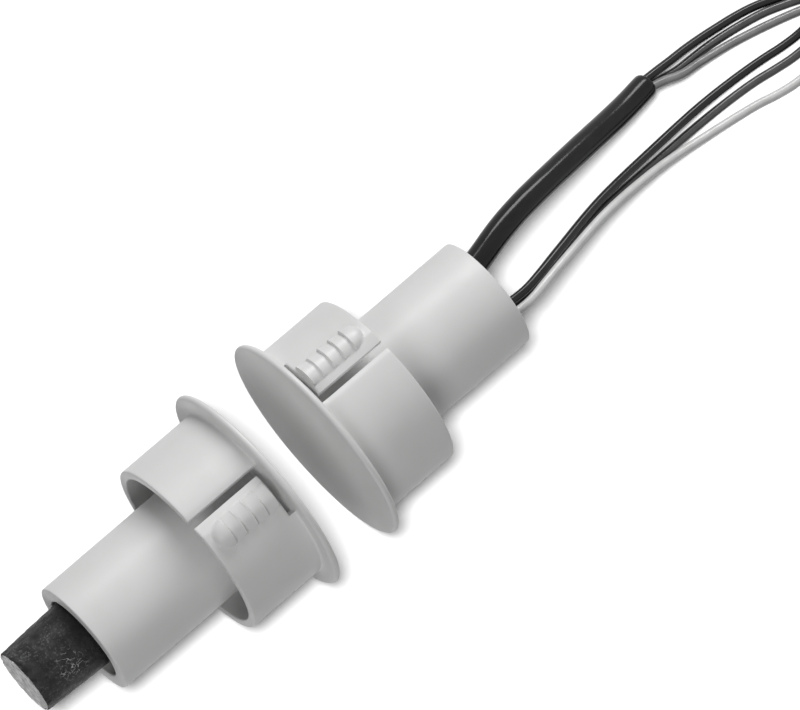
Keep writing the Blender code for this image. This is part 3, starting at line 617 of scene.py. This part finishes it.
def smooth_path(points):
    """Fine points on a smooth curve through the given points."""
    knots = [Vector(p) for p in points]
    knots = [2.0 * knots[0] - knots[1]] + knots + [2.0 * knots[-1] - knots[-2]]
    fine = []
    for a, b, c, d in zip(knots, knots[1:], knots[2:], knots[3:]):
        for i in range(PATH_STEPS):
            t = i / PATH_STEPS
            bend = (2.0 * a - 5.0 * b + 4.0 * c - d) * t * t
            twist = (3.0 * b - a - 3.0 * c + d) * t * t * t
            fine.append(0.5 * (2.0 * b + (c - a) * t + bend + twist))
    fine.append(knots[-2])
    return fine


def even_points(path, spacing):
    """Points at an even spacing along a path, both ends kept."""
    lengths = [0.0]
    for near, far in zip(path, path[1:]):
        lengths.append(lengths[-1] + (far - near).length)
    count = max(2, round(lengths[-1] / spacing) + 1)
    points = []
    j = 0
    for i in range(count):
        target = lengths[-1] * i / (count - 1)
        while j < len(path) - 2 and lengths[j + 1] < target:
            j += 1
        share = (target - lengths[j]) / (lengths[j + 1] - lengths[j])
        points.append(path[j].lerp(path[j + 1], min(1.0, share)))
    return points


def swept_curve(name, runs, radius, resolution=4, sides=4):
    """A round curve in metres, with one smooth spline for each run of points in mm."""
    curve = bpy.data.curves.new(name, 'CURVE')
    curve.dimensions = '3D'
    curve.resolution_u = resolution
    curve.bevel_depth = radius * MM
    curve.bevel_resolution = sides
    curve.use_fill_caps = True
    for run in runs:
        spline = curve.splines.new('BEZIER')
        spline.bezier_points.add(len(run) - 1)
        for point, place in zip(spline.bezier_points, run):
            point.co = place * MM
            point.handle_left_type = 'AUTO'
            point.handle_right_type = 'AUTO'
    return curve


# Moulding

def barb_height(along, depth):
    """Height of the barbs over the finger: a dome cut into steps that face the flange."""
    share = (along - BARB_START) / BARB_RUN
    place = (depth - FIRST_BARB) / BARB_PITCH
    index = min(math.floor(place), BARB_COUNT - 1)
    ramp = place - index
    if not 0.0 < share < 1.0 or index < 0:
        return 0.0
    swell = math.sin(math.pi * share)
    crest = swell ** BARB_SQUARE
    if 0.0 <= ramp < BARB_FACE:
        before = 0.0 if index == 0 else (1.0 - BARB_FALL) * swell ** BARB_SOFT
        return BARB_HEIGHT * (before + (crest - before) * ramp / BARB_FACE)
    if index == BARB_COUNT - 1:
        return BARB_HEIGHT * math.sqrt(max(0.0, crest ** 2 - (ramp / BARB_TIP) ** 2))
    power = BARB_SQUARE + (BARB_SOFT - BARB_SQUARE) * ramp
    return BARB_HEIGHT * (1.0 - BARB_FALL * ramp) * swell ** power


def finger_place(angle):
    """How far an angle is past the nearest free edge, in mm along the collar."""
    places = []
    for i in range(FINGER_COUNT):
        start = FINGER_START + math.tau * i / FINGER_COUNT
        turn = (angle - start + math.pi) % math.tau - math.pi
        places.append(turn * COLLAR_RADIUS)
    return min(places, key=abs)


def proud(along):
    """How far a sprung finger stands out of the collar, from its free edge to its root."""
    if not -TOLERANCE <= along <= FINGER_REACH:
        return 0.0
    return FINGER_PROUD * (1.0 - along / FINGER_REACH) ** FINGER_PROUD_POWER


def eased(distance, width, drop):
    """The drop of a softened edge at a distance from it."""
    share = min(1.0, max(0.0, 1.0 - distance / width))
    return drop * share * share


def collar_radius(along, depth):
    """Outer radius of the collar, with its sprung fingers, barbs and softened slot edges."""
    radius = COLLAR_RADIUS
    on_finger = -TOLERANCE <= along <= FINGER_REACH + TOLERANCE
    if on_finger and depth >= CROSS_WIDTH - TOLERANCE:
        radius += proud(along) + barb_height(along, depth)
        radius -= FINGER_EDGE_DROP * max(0.0, 1.0 - along / FINGER_EDGE)
        radius -= eased(depth - CROSS_WIDTH, CROSS_EDGE, CROSS_EDGE_DROP)
    elif along < 0.0:
        fade = min(1.0, max(0.0, (depth - FILLET) / COLLAR_EDGE))
        radius -= fade * eased(-along - SLOT_WIDTH, COLLAR_EDGE, COLLAR_EDGE_DROP)
    return radius


def column_angles():
    """Angles of the moulding's columns, closer together at the fingers."""
    ahead = [*EDGE_COLUMNS]
    ahead += [BARB_START + BARB_RUN * share for share in BARB_COLUMNS]
    ahead += [*ROOT_COLUMNS]
    ahead += [FINGER_REACH + x for x in HINGE_COLUMNS]
    behind = [*SLOT_COLUMNS] + [SLOT_WIDTH + x for x in BEHIND_COLUMNS]
    angles = []
    for i in range(FINGER_COUNT):
        start = FINGER_START + math.tau * i / FINGER_COUNT
        near = [start + x / COLLAR_RADIUS for x in [-b for b in reversed(behind)] + ahead]
        reach = start + math.tau / FINGER_COUNT - behind[-1] / COLLAR_RADIUS
        count = math.ceil((reach - near[-1]) / COLUMN_STEP)
        angles += near + [near[-1] + (reach - near[-1]) * j / count for j in range(1, count)]
    return angles


def rounded(zone, *arc):
    return [(radius, depth, zone) for radius, depth in arc_points(*arc)]


def moulding_profile():
    """Half section as (radius, depth, zone): flange front, collar and tube, then the bore."""
    rim = FLANGE_RADIUS - FLANGE_EDGE_RADIUS
    profile = []
    for i in range(1, DOME_ROWS + 1):
        share = i / DOME_ROWS
        profile.append((rim * share, -FLANGE_THICKNESS - FLANGE_DOME * (1.0 - share * share), "plain"))
    profile += rounded(
        "plain", (rim, FLANGE_EDGE_RADIUS - FLANGE_THICKNESS), FLANGE_EDGE_RADIUS, -90, 0, RIM_STEPS)[1:]
    back = FLANGE_RADIUS - FLANGE_BACK_RADIUS
    profile += rounded("plain", (back, -FLANGE_BACK_RADIUS), FLANGE_BACK_RADIUS, 0, 90, FILLET_STEPS)
    profile.append((0.5 * (FLANGE_RADIUS + COLLAR_RADIUS), 0.0, "plain"))
    profile += rounded("outer", (COLLAR_RADIUS + FILLET, FILLET), FILLET, -90, -180, FILLET_STEPS)
    rows = [*FRONT_ROWS]
    for i in range(BARB_COUNT):
        rows += [FIRST_BARB + BARB_PITCH * (i + share) for share in BARB_ROWS]
    rows += [COLLAR_LENGTH - x for x in REAR_ROWS]
    profile += [(COLLAR_RADIUS, depth, "outer") for depth in rows]
    low = COLLAR_LENGTH - EDGE_RADIUS
    profile += rounded("rear", (COLLAR_RADIUS - EDGE_RADIUS, low), EDGE_RADIUS, 0, 90, EDGE_STEPS)
    profile += rounded("rear", (COLLAR_BORE + EDGE_RADIUS, low), EDGE_RADIUS, 90, 180, EDGE_STEPS)
    profile += [(COLLAR_BORE, depth, "inner") for depth in BORE_ROWS]
    profile.append((TUBE_RADIUS + FILLET, GAP_FLOOR, "plain"))
    profile += rounded(
        "plain", (TUBE_RADIUS + FILLET, GAP_FLOOR + FILLET), FILLET, -90, -180, FILLET_STEPS)[1:]
    end = TUBE_LENGTH - EDGE_RADIUS
    for i in range(TUBE_ROWS):
        profile.append((TUBE_RADIUS, TUBE_START + (end - TUBE_START) * i / TUBE_ROWS, "plain"))
    profile += rounded("plain", (TUBE_RADIUS - EDGE_RADIUS, end), EDGE_RADIUS, 0, 90, TUBE_EDGE_STEPS)
    profile += rounded("plain", (TUBE_BORE + EDGE_RADIUS, end), EDGE_RADIUS, 90, 180, TUBE_EDGE_STEPS)
    bore_end = FRONT_WALL - FLANGE_THICKNESS
    for i in range(1, TUBE_ROWS + 1):
        profile.append((TUBE_BORE, end + (bore_end - end) * i / TUBE_ROWS, "plain"))
    profile.append((0.5 * TUBE_BORE, bore_end, "plain"))
    return profile


def moulding_mesh():
    """The moulding in its own frame, in metres, with depth running along -Z."""
    angles = column_angles()
    profile = moulding_profile()
    count = len(angles)
    along = [finger_place(a) for a in angles]
    points = []
    for radius, depth, zone in profile:
        for angle, place in zip(angles, along):
            r = radius
            if zone == "outer" and radius == COLLAR_RADIUS:
                r = collar_radius(place, depth)
            elif zone == "rear":
                outward = (radius - COLLAR_BORE) / (COLLAR_RADIUS - COLLAR_BORE)
                dressed = collar_radius(place, depth) - COLLAR_RADIUS
                r = radius + outward * dressed + (1.0 - outward) * proud(place)
            elif zone == "inner" and depth >= CROSS_WIDTH:
                r = radius + proud(place)
            points.append((r * math.cos(angle) * MM, r * math.sin(angle) * MM, -depth * MM))
    loop = [k for k, row in enumerate(profile) if row[2] != "plain"]
    first, last = loop[0], loop[-1]
    outer_cross = next(k for k in loop if profile[k][2] == "outer" and profile[k][1] == CROSS_WIDTH)
    inner_cross = next(k for k in loop if profile[k][2] == "inner" and profile[k][1] == CROSS_WIDTH)
    faces = []

    def vertex(k, i):
        return k * count + i % count

    def band(low, high, i):
        faces.append((vertex(low, i), vertex(high, i), vertex(high, i + 1), vertex(low, i + 1)))

    for i in range(count):
        middle = 0.5 * (along[i] + finger_place(angles[i] + COLUMN_NUDGE))
        in_slot = -SLOT_WIDTH < middle < 0.0
        in_cross = 0.0 < middle < FINGER_REACH
        for k in range(len(profile) - 1):
            in_loop = first <= k < last
            near_flange = in_loop and (k < outer_cross or k >= inner_cross)
            if (in_slot and in_loop) or (in_cross and near_flange):
                continue
            band(k, k + 1, i)
        if in_slot or in_cross:
            band(first, last, i)
        if in_cross:
            band(outer_cross, inner_cross, i)
        if abs(along[i] + SLOT_WIDTH) < TOLERANCE:
            faces.append([vertex(k, i) for k in range(first, last + 1)])
        if abs(along[i]) < TOLERANCE:
            faces.append([vertex(k, i) for k in range(outer_cross, inner_cross + 1)])
        if abs(along[i] - FINGER_REACH) < TOLERANCE:
            wall = [*range(first, outer_cross + 1), *range(inner_cross, last + 1)]
            faces.append([vertex(k, i) for k in wall])
    front = len(points)
    points.append((0.0, 0.0, (FLANGE_THICKNESS + FLANGE_DOME) * MM))
    floor = len(points)
    points.append((0.0, 0.0, (FLANGE_THICKNESS - FRONT_WALL) * MM))
    for i in range(count):
        faces.append((front, vertex(0, i), vertex(0, i + 1)))
        faces.append((floor, vertex(len(profile) - 1, i), vertex(len(profile) - 1, i + 1)))
    return mesh_from("moulding", points, faces)


def build_housings(white):
    mesh = moulding_mesh()
    halves = (
        ("switch_moulding", "switch_housing", 0.0, -0.5 * math.pi, SWITCH_ROLL),
        ("magnet_moulding", "magnet_housing", -BACK_TO_BACK * MM, 0.5 * math.pi, MAGNET_ROLL))
    for name, node, x, turn, roll in halves:
        turned = mesh.copy()
        rolled = Matrix.Rotation(turn, 4, 'Y') @ Matrix.Rotation(roll, 4, 'Z')
        turned.transform(Matrix.Translation((x, 0.0, 0.0)) @ rolled)
        shown(name, turned, [white], "white_moulding", node)


# Magnet and fills

def rough_side(x, radius, place):
    """A side point's radius and its shift along the rod, with the casting rough and its end chipped."""
    depth = CAST_DEPTH * noise.fractal(place * CAST_SCALE, *CAST_FRACTAL) if x <= MAGNET_HIDDEN else 0.0
    near_end = max(0.0, 1.0 - (x - MAGNET_REAR) / CHIP_REACH)
    chip = max(0.0, noise.noise(place * CHIP_SCALE + Vector(CHIP_PLACE)) - CHIP_FLOOR)
    nick = max(0.0, noise.noise(place * NICK_SCALE) - NICK_FLOOR)
    cut = near_end * near_end * (CHIP_DEPTH * chip + NICK_DEPTH * nick)
    return radius + min(CAST_PROUD, depth) - cut, CHIP_SLANT * cut


def worn_end(radius, place):
    """The same for a point of the ground end."""
    return radius, sum(END_WEAR * max(0.0, noise.noise(place * scale)) for scale in END_WEAR_SCALES)


def magnet_rings():
    """Rings of the rod as (x, radius), and how many of them lie on its side."""
    rows = [*HIDDEN_ROWS, MAGNET_HIDDEN]
    reach = MAGNET_REAR + MAGNET_EDGE - MAGNET_HIDDEN
    count = round(-reach / MAGNET_ROW)
    rows += [MAGNET_HIDDEN + reach * i / count for i in range(1, count + 1)]
    taper = (MAGNET_RADIUS - MAGNET_END_RADIUS) / (MAGNET_MOUTH - MAGNET_REAR)
    rings = [(x, MAGNET_RADIUS - taper * max(0.0, MAGNET_MOUTH - x)) for x in rows]
    end_radius = MAGNET_END_RADIUS - MAGNET_EDGE
    rings += [
        (MAGNET_REAR + MAGNET_EDGE_STEP, MAGNET_END_RADIUS - MAGNET_EDGE_STEP), (MAGNET_REAR, end_radius)]
    side_rings = len(rings)
    for i in range(1, MAGNET_END_RINGS):
        rings.append((MAGNET_REAR, end_radius * (1.0 - i / MAGNET_END_RINGS)))
    return rings, side_rings


def build_magnet(sides, end):
    """The cast rod: rough sides where it shows, and a chipped edge round its ground end."""
    rings, side_rings = magnet_rings()
    points = []
    for k, (x, radius) in enumerate(rings):
        for i in range(MAGNET_COLUMNS):
            angle = math.tau * i / MAGNET_COLUMNS
            place = Vector((x, radius * math.cos(angle), radius * math.sin(angle)))
            on_side = k < side_rings
            r, shift = rough_side(x, radius, place) if on_side else worn_end(radius, place)
            y = MAGNET_OFFSET + r * math.cos(angle)
            points.append(((x + shift) * MM, y * MM, r * math.sin(angle) * MM))
    faces = ring_faces(range(len(rings)), MAGNET_COLUMNS)
    side_faces = (side_rings - 1) * MAGNET_COLUMNS
    tip = len(points)
    points.append((MAGNET_REAR * MM, MAGNET_OFFSET * MM, 0.0))
    top = (len(rings) - 1) * MAGNET_COLUMNS
    faces += [(top + i, top + (i + 1) % MAGNET_COLUMNS, tip) for i in range(MAGNET_COLUMNS)]
    faces.append(tuple(range(MAGNET_COLUMNS)))
    mesh = mesh_from("magnet_body", points, faces, ROD_SHARP_ANGLE)
    shown("cast_magnet_rod", mesh, [sides, end], "cast_magnet", "magnet_rod")
    for index, face in enumerate(mesh.polygons):
        face.material_index = 1 if side_faces <= index < len(faces) - 1 else 0


def build_adhesive(material):
    """The ring of adhesive between rod and bore, drawn up a little at both walls."""
    shares = [i / ADHESIVE_STEPS for i in range(ADHESIVE_STEPS + 1)]
    top, bottom = MAGNET_MOUTH + ADHESIVE_DEPTH, MAGNET_FRONT
    points = []
    for side in (0, 1):
        for share in shares:
            for i in range(ADHESIVE_COLUMNS):
                angle = math.tau * i / ADHESIVE_COLUMNS
                y, z = math.cos(angle), math.sin(angle)
                inner = Vector((MAGNET_RADIUS * y + MAGNET_OFFSET, MAGNET_RADIUS * z))
                outer = Vector((TUBE_BORE * y, TUBE_BORE * z))
                place = inner.lerp(outer, share)
                wave = Vector((ADHESIVE_RIPPLE_SCALE * y, ADHESIVE_RIPPLE_SCALE * z, share))
                ripple = ADHESIVE_RIPPLE * noise.noise(wave)
                climb = ADHESIVE_CLIMB * abs(2.0 * share - 1.0) ** 3 + ripple
                x = top - climb if side == 0 else bottom
                points.append((x * MM, place.x * MM, place.y * MM))
    rings = len(shares)
    order = list(range(rings)) + [2 * rings - 1 - i for i in range(rings)]
    mesh = mesh_from("adhesive_ring", points, ring_faces(order + order[:1], ADHESIVE_COLUMNS))
    shown("adhesive_fill", mesh, [material], "adhesive", "magnet_adhesive")


def build_potting(material):
    """The cast fill at the switch's rear, drawn up at the bore and round each lead."""
    holes = [(y, z, 0.5 * LEAD_DIAMETER) for y, z in BARE_LEAD_EXITS.values()]
    holes.append((*SLEEVE_EXIT, 0.5 * SLEEVE_DIAMETER))
    count, rings = POTTING_COLUMNS, POTTING_RINGS
    angles = [math.tau * i / count for i in range(count)]
    points = []
    for k in range(1, rings + 1):
        radius = TUBE_BORE * k / rings
        for angle in angles:
            y, z = radius * math.cos(angle), radius * math.sin(angle)
            climb = POTTING_WALL_CLIMB * math.exp(-(TUBE_BORE - radius) / POTTING_WALL_CLIMB)
            for hole_y, hole_z, hole_radius in holes:
                gap = max(0.0, math.hypot(y - hole_y, z - hole_z) - hole_radius)
                climb = max(climb, POTTING_LEAD_CLIMB * math.exp(-gap / POTTING_LEAD_CLIMB))
            wave = Vector((POTTING_RIPPLE_SCALE * y, POTTING_RIPPLE_SCALE * z, 2.0))
            x = POTTING_REAR + climb + POTTING_RIPPLE * noise.noise(wave)
            points.append((x * MM, y * MM, z * MM))
    for angle in angles:
        y, z = TUBE_BORE * math.cos(angle), TUBE_BORE * math.sin(angle)
        points.append((POTTING_FRONT * MM, y * MM, z * MM))
    faces = ring_faces(range(rings + 1), count)
    faces.append(tuple(range(count)))
    faces.append(tuple(rings * count + i for i in range(count)))
    mesh = mesh_from("potting_body", points, faces, SOFT_SHARP_ANGLE)
    shown("potting_fill", mesh, [material], "potting", "potting")


# Leads

def coil_place(turns):
    """The ribbon's centre line in the coil, turning clockwise and inward from its top."""
    tail = max(0.0, turns - COIL_TURNS)
    radius = COIL_START_RADIUS - COIL_PITCH * turns - COIL_TAIL_PULL * tail * tail
    angle = 0.5 * math.pi - math.tau * turns
    return Vector(COIL_CENTRE) + radius * Vector((math.cos(angle), math.sin(angle)))


def coil_point(turns, row, height):
    centre = coil_place(turns)
    ahead = (centre - coil_place(turns - COIL_NUDGE)).normalized()
    side = Vector((-ahead.y, ahead.x))
    place = centre + side * row * LEAD_PITCH
    return Vector((place.x, place.y, height))


def coil_run(row, height):
    total = COIL_TURNS + COIL_TAIL_TURNS
    count = round(total * COIL_STEPS)
    return [coil_point(total * i / count, row, height) for i in range(1, count + 1)]


def lead_in(y, z):
    """The straight stretch of a route, from inside the potting to the tube's end."""
    return [(x, y, z) for x in (CABLE_START, 0.5 * (CABLE_START + TUBE_LENGTH), TUBE_LENGTH)]


def sleeve_path():
    return smooth_path(lead_in(*SLEEVE_EXIT) + SLEEVE_ROUTE)


def across(path, i):
    """The level direction and the upward direction across a path at one of its points."""
    ahead = (path[min(i + 1, len(path) - 1)] - path[max(i - 1, 0)]).normalized()
    level = Vector((-ahead.y, ahead.x, 0.0)).normalized()
    return level, level.cross(ahead) * -1.0


def in_sleeve(path, turn):
    """A lead's line inside the sleeve, beside the sleeve's own."""
    line = []
    for i, point in enumerate(path):
        level, up = across(path, i)
        offset = SLEEVE_LEAD_SPREAD * (math.sin(turn) * level + math.cos(turn) * up)
        line.append(point + offset)
    return line


def strands(name, start, ahead, material):
    """A bared conductor: strands laid in a slow twist round a middle one."""
    side = ahead.cross(Vector((0.0, 0.0, 1.0))).normalized()
    up = side.cross(ahead)
    runs = []
    for k in range(STRAND_COUNT):
        spread = 0.0 if k == 0 else 2.0 * STRAND_RADIUS
        run = []
        for i in range(STRAND_STEPS + 1):
            share = i / STRAND_STEPS
            turn = math.tau * (k / (STRAND_COUNT - 1) + share * STRAND_TWIST)
            out = spread * (1.0 + STRAND_SPREAD * share * share * (k % 3))
            place = start + ahead * (CONDUCTOR_LENGTH * share * (1.0 - STRAND_STAGGER * (k % 3)))
            run.append(place + out * (math.cos(turn) * side + math.sin(turn) * up))
        runs.append(run)
    return swept_curve(name, runs, STRAND_RADIUS, 2, 2)


def build_lead(group, name, path, height, row, material, tinned, slot):
    run = even_points(path, LEAD_SPACING)[:-1] + [coil_point(0.0, row, height)] + coil_run(row, height)
    ahead = (run[-1] - run[-2]).normalized()
    ends = strands(f"{group}_strands_{name}", run[-1], ahead, tinned)
    bared = shown(
        f"{group}_strands_{name}", ends, [tinned], "tinned_copper", f"{group}_conductor_{name}")
    curve = swept_curve(f"{group}_insulation_{name}", [run], 0.5 * LEAD_DIAMETER)
    nodes = [f"{group}_lead_{name}", f"{group}_tail_{name}", "lead_coil"]
    lead = shown(f"{group}_insulation_{name}", curve, [material], slot, *nodes)


def build_sleeve(material):
    """The sleeve as a hollow tube with a rounded lip at its open end."""
    path = even_points(sleeve_path(), SLEEVE_SPACING)
    outer, inner = 0.5 * SLEEVE_DIAMETER, 0.5 * SLEEVE_DIAMETER - SLEEVE_WALL
    middle = 0.5 * (outer + inner)
    last = len(path) - 1
    turns = [math.tau * k / SLEEVE_COLUMNS for k in range(SLEEVE_COLUMNS)]
    rings = []

    def ring(i, radius, shift):
        level, up = across(path, i)
        wave = 1.0 + SLEEVE_WAVE * noise.noise(path[i] * SLEEVE_WAVE_SCALE)
        centre = path[i] + level.cross(up) * shift
        rings.append([centre + radius * wave * (math.cos(a) * level + math.sin(a) * up) for a in turns])

    for i in range(last):
        ring(i, outer, 0.0)
    for turn in LIP_TURNS:
        a = math.radians(turn)
        lip = 0.5 * SLEEVE_WALL + LIP_LENGTH * (1.0 - turn / 180.0)
        radius = middle + 0.5 * SLEEVE_WALL * math.cos(a) - LIP_PULL * math.sin(a)
        ring(last, radius, lip * math.sin(a) - LIP_LENGTH)
    for i in range(last - 1, -1, -1):
        ring(i, inner, 0.0)
    points = [p * MM for r in rings for p in r]
    faces = ring_faces([*range(len(rings)), 0], SLEEVE_COLUMNS)
    mesh = mesh_from("sleeve_body", points, faces, SOFT_SHARP_ANGLE)
    return shown("sleeve_tube", mesh, [material], "sleeve", "lead_sleeve")


def build_tie(material):
    """A thin strap round the coil, through a small head, with its end cut off short."""
    near, far, low, high = TIE_NEAR, TIE_FAR, TIE_LOW, TIE_HIGH
    corner = TIE_CORNER
    corners = [
        ((far - corner, high - corner), 90, 0), ((far - corner, low + corner), 0, -90),
        ((near + corner, low + corner), -90, -180), ((near + corner, high - corner), 180, 90)]
    loop = []
    for centre, start, end in corners:
        loop += arc_points(centre, corner, start, end, TIE_CORNER_STEPS)
    half, edge = 0.5 * TIE_WIDTH, TIE_EDGE
    section = [
        (-half, edge), (-half, TIE_BAND - edge), (edge - half, TIE_BAND), (half - edge, TIE_BAND),
        (half, TIE_BAND - edge), (half, edge), (half - edge, 0.0), (edge - half, 0.0)]
    points = []
    for i, (r, z) in enumerate(loop):
        before, after = Vector(loop[i - 1]), Vector(loop[(i + 1) % len(loop)])
        ahead = (after - before).normalized()
        out = Vector((-ahead.y, ahead.x))
        for side, lift in section:
            points.append(Vector((r + out.x * lift, side, z + out.y * lift)))
    faces = ring_faces([*range(len(loop)), 0], len(section))
    work = bmesh.new()
    verts = [work.verts.new(p) for p in points]
    for face in faces:
        work.faces.new([verts[i] for i in face])
    middle = 0.5 * (near + far)
    length, width, height = TIE_HEAD
    tail_middle = middle + 0.5 * (length + TIE_TAIL) - TIE_TAIL_TUCK
    blocks = [
        (length, width, height, (middle, 0.0, high + 0.5 * height + TIE_HEAD_LIFT), TIE_HEAD_BEVEL),
        (TIE_TAIL, TIE_TAIL_WIDTH, TIE_BAND, (tail_middle, 0.0, high + TIE_TAIL_LIFT), TIE_EDGE),
        (*TIE_CAP, (middle, 0.0, high + height + TIE_CAP_LIFT), TIE_CAP_BEVEL),
    ]
    for size_x, size_y, size_z, place, bevel in blocks:
        made = bmesh.ops.create_cube(work, size=1.0)["verts"]
        bmesh.ops.scale(work, vec=(size_x, size_y, size_z), verts=made)
        bmesh.ops.translate(work, vec=place, verts=made)
        edges = list({e for v in made for e in v.link_edges})
        bmesh.ops.bevel(
            work, geom=edges, offset=bevel, segments=TIE_BEVEL_STEPS, affect='EDGES', profile=0.5)
    bmesh.ops.rotate(work, cent=(0, 0, 0), matrix=Matrix.Rotation(TIE_ANGLE, 3, 'Z'), verts=work.verts)
    bmesh.ops.translate(work, vec=(*COIL_CENTRE, 0.0), verts=work.verts)
    bmesh.ops.scale(work, vec=(MM, MM, MM), verts=work.verts)
    mesh = smoothed(bpy.data.meshes.new("tie_body"), work, SHARP_ANGLE)
    return shown("nylon_tie", mesh, [material], "tie", "coil_tie")


def build_leads():
    tinned = metal("tinned_strands", (0.42, 0.42, 0.42), (0.66, 0.66, 0.65), 0.32)
    coats = {tone: insulation(f"{tone}_insulation", *looks) for tone, looks in INSULATIONS.items()}
    slots = {n: f"insulation_{n}" for n in coats}
    sleeve = build_sleeve(sleeve_rubber())
    tie = build_tie(nylon())
    for name, route in BARE_LEAD_ROUTES.items():
        y, z = BARE_LEAD_EXITS[name]
        path = smooth_path(lead_in(y, z) + route)
        tone = "dark_grey" if name == "grey" else name
        build_lead(
            "bare", name, path, UPPER_LAYER, BARE_LEAD_ROWS[name], coats[tone], tinned, slots[tone])
    inside = sleeve_path()
    for name, route in SLEEVED_LEAD_ROUTES.items():
        line = in_sleeve(inside, SLEEVED_LEAD_TURNS[name])
        joined = smooth_path([line[-SLEEVE_APPROACH], line[-SLEEVE_JOIN], *route])
        path = line[:1 - SLEEVE_JOIN] + joined[PATH_STEPS:]
        build_lead(
            "sleeved", name, path, LOWER_LAYER, SLEEVED_LEAD_ROWS[name], coats[name], tinned, slots[name])


# Inner nodes that keep their CAD shape

def dress_nodes():
    glass = capsule_glass()
    alloy = metal("reed_alloy_finish", (0.46, 0.46, 0.46), (0.6, 0.6, 0.6), 0.3)
    solder = metal("solder_finish", (0.4, 0.4, 0.41), (0.62, 0.62, 0.63), 0.34)
    for name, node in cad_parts.items():
        if "glass" in name:
            finish = glass
        elif "blade" in name:
            finish = alloy
        elif "joint" in name:
            finish = solder
        else:
            continue
        for place in node.material_slots:
            place.material = finish


# Stage, lights and camera

def build_floor():
    mesh = bpy.data.meshes.new("floor")
    half = 0.5 * FLOOR_SIZE
    z = FLOOR_HEIGHT * MM
    corners = [(-half, -half, z), (half, -half, z), (half, half, z), (-half, half, z)]
    mesh.from_pydata(corners, [], [(0, 1, 2, 3)])
    floor = placed("floor", mesh)
    material = bpy.data.materials.new("floor_paper")
    material.use_nodes = True
    nodes, links = tree(material)
    nodes.clear()
    output = nodes.new("ShaderNodeOutputMaterial")
    diffuse = nodes.new("ShaderNodeBsdfDiffuse")
    rays = nodes.new("ShaderNodeLightPath")
    seen = ranged(material, rays.outputs["Is Camera Ray"], 0.0, 1.0, FLOOR_BOUNCE, FLOOR_SEEN)
    mirrored = combined(
        material, 'MAXIMUM', rays.outputs["Is Glossy Ray"], rays.outputs["Is Transmission Ray"])
    mirrored = ranged(material, mirrored, 0.0, 1.0, 0.0, FLOOR_MIRRORED)
    links.new(combined(material, 'MAXIMUM', seen, mirrored), diffuse.inputs["Color"])
    links.new(diffuse.outputs["BSDF"], output.inputs["Surface"])
    mesh.materials.append(material)
    return floor


def build_world():
    world = bpy.data.worlds.new("studio")
    bpy.context.scene.world = world
    world.use_nodes = True
    nodes, links = tree(world)
    background = nodes["Background"]
    rays = nodes.new("ShaderNodeLightPath")
    seen = combined(world, 'MAXIMUM', rays.outputs["Is Camera Ray"], rays.outputs["Is Glossy Ray"])
    seen = combined(world, 'MAXIMUM', seen, rays.outputs["Is Transmission Ray"])
    links.new(ranged(world, seen, 0.0, 1.0, WORLD_LIGHT, 1.0), background.inputs["Strength"])
    background.inputs["Color"].default_value = (1.0, 1.0, 1.0, 1.0)


def area_light(name, place, size, power):
    """An oval lamp that faces the origin, with its long way beside the X axis."""
    data = bpy.data.lights.new(name, 'AREA')
    data.shape = 'ELLIPSE'
    data.size, data.size_y = size
    data.energy = power
    lamp = placed(name, data)
    lamp.location = place
    back = Vector(place).normalized()
    side = (Vector((1.0, 0.0, 0.0)) - back.x * back).normalized()
    lamp.rotation_mode = 'QUATERNION'
    lamp.rotation_quaternion = Matrix((side, back.cross(side), back)).transposed().to_quaternion()
    return lamp


def set_reach(lamp, piece, state):
    """Let a lamp light one piece alone (INCLUDE), or all pieces but that one (EXCLUDE)."""
    group = bpy.data.collections.new(lamp.name + "_reach")
    group.objects.link(piece)
    group.collection_objects[0].light_linking.link_state = state
    lamp.light_linking.receiver_collection = group


def build_camera():
    data = bpy.data.cameras.new("camera")
    data.lens = CAMERA_LENS
    data.sensor_width = SENSOR_WIDTH
    data.sensor_fit = 'HORIZONTAL'
    camera = placed("camera", data)
    a, e = CAMERA_AZIMUTH, CAMERA_ELEVATION
    back = Vector((math.sin(a) * math.cos(e), -math.cos(a) * math.cos(e), math.sin(e)))
    right = Vector((math.cos(a), math.sin(a), 0.0))
    up = back.cross(right)
    turn = Matrix((right, up, back)).transposed().to_4x4()
    camera.matrix_world = Matrix.Translation(CAMERA_PLACE) @ turn
    bpy.context.scene.camera = camera


build_camera()
build_leads()
build_housings(white_plastic())
build_magnet(cast_metal(), ground_metal())
build_adhesive(glue())
build_potting(resin())
dress_nodes()
paper = build_floor()
build_world()
set_reach(area_light("key", KEY_PLACE, KEY_SIZE, KEY_POWER), paper, 'EXCLUDE')
set_reach(area_light("fill", FILL_PLACE, FILL_SIZE, FILL_POWER), paper, 'EXCLUDE')
set_reach(area_light("overhead", OVERHEAD_PLACE, OVERHEAD_SIZE, OVERHEAD_POWER), paper, 'INCLUDE')

bpy.context.scene.view_settings.view_transform = 'Standard'
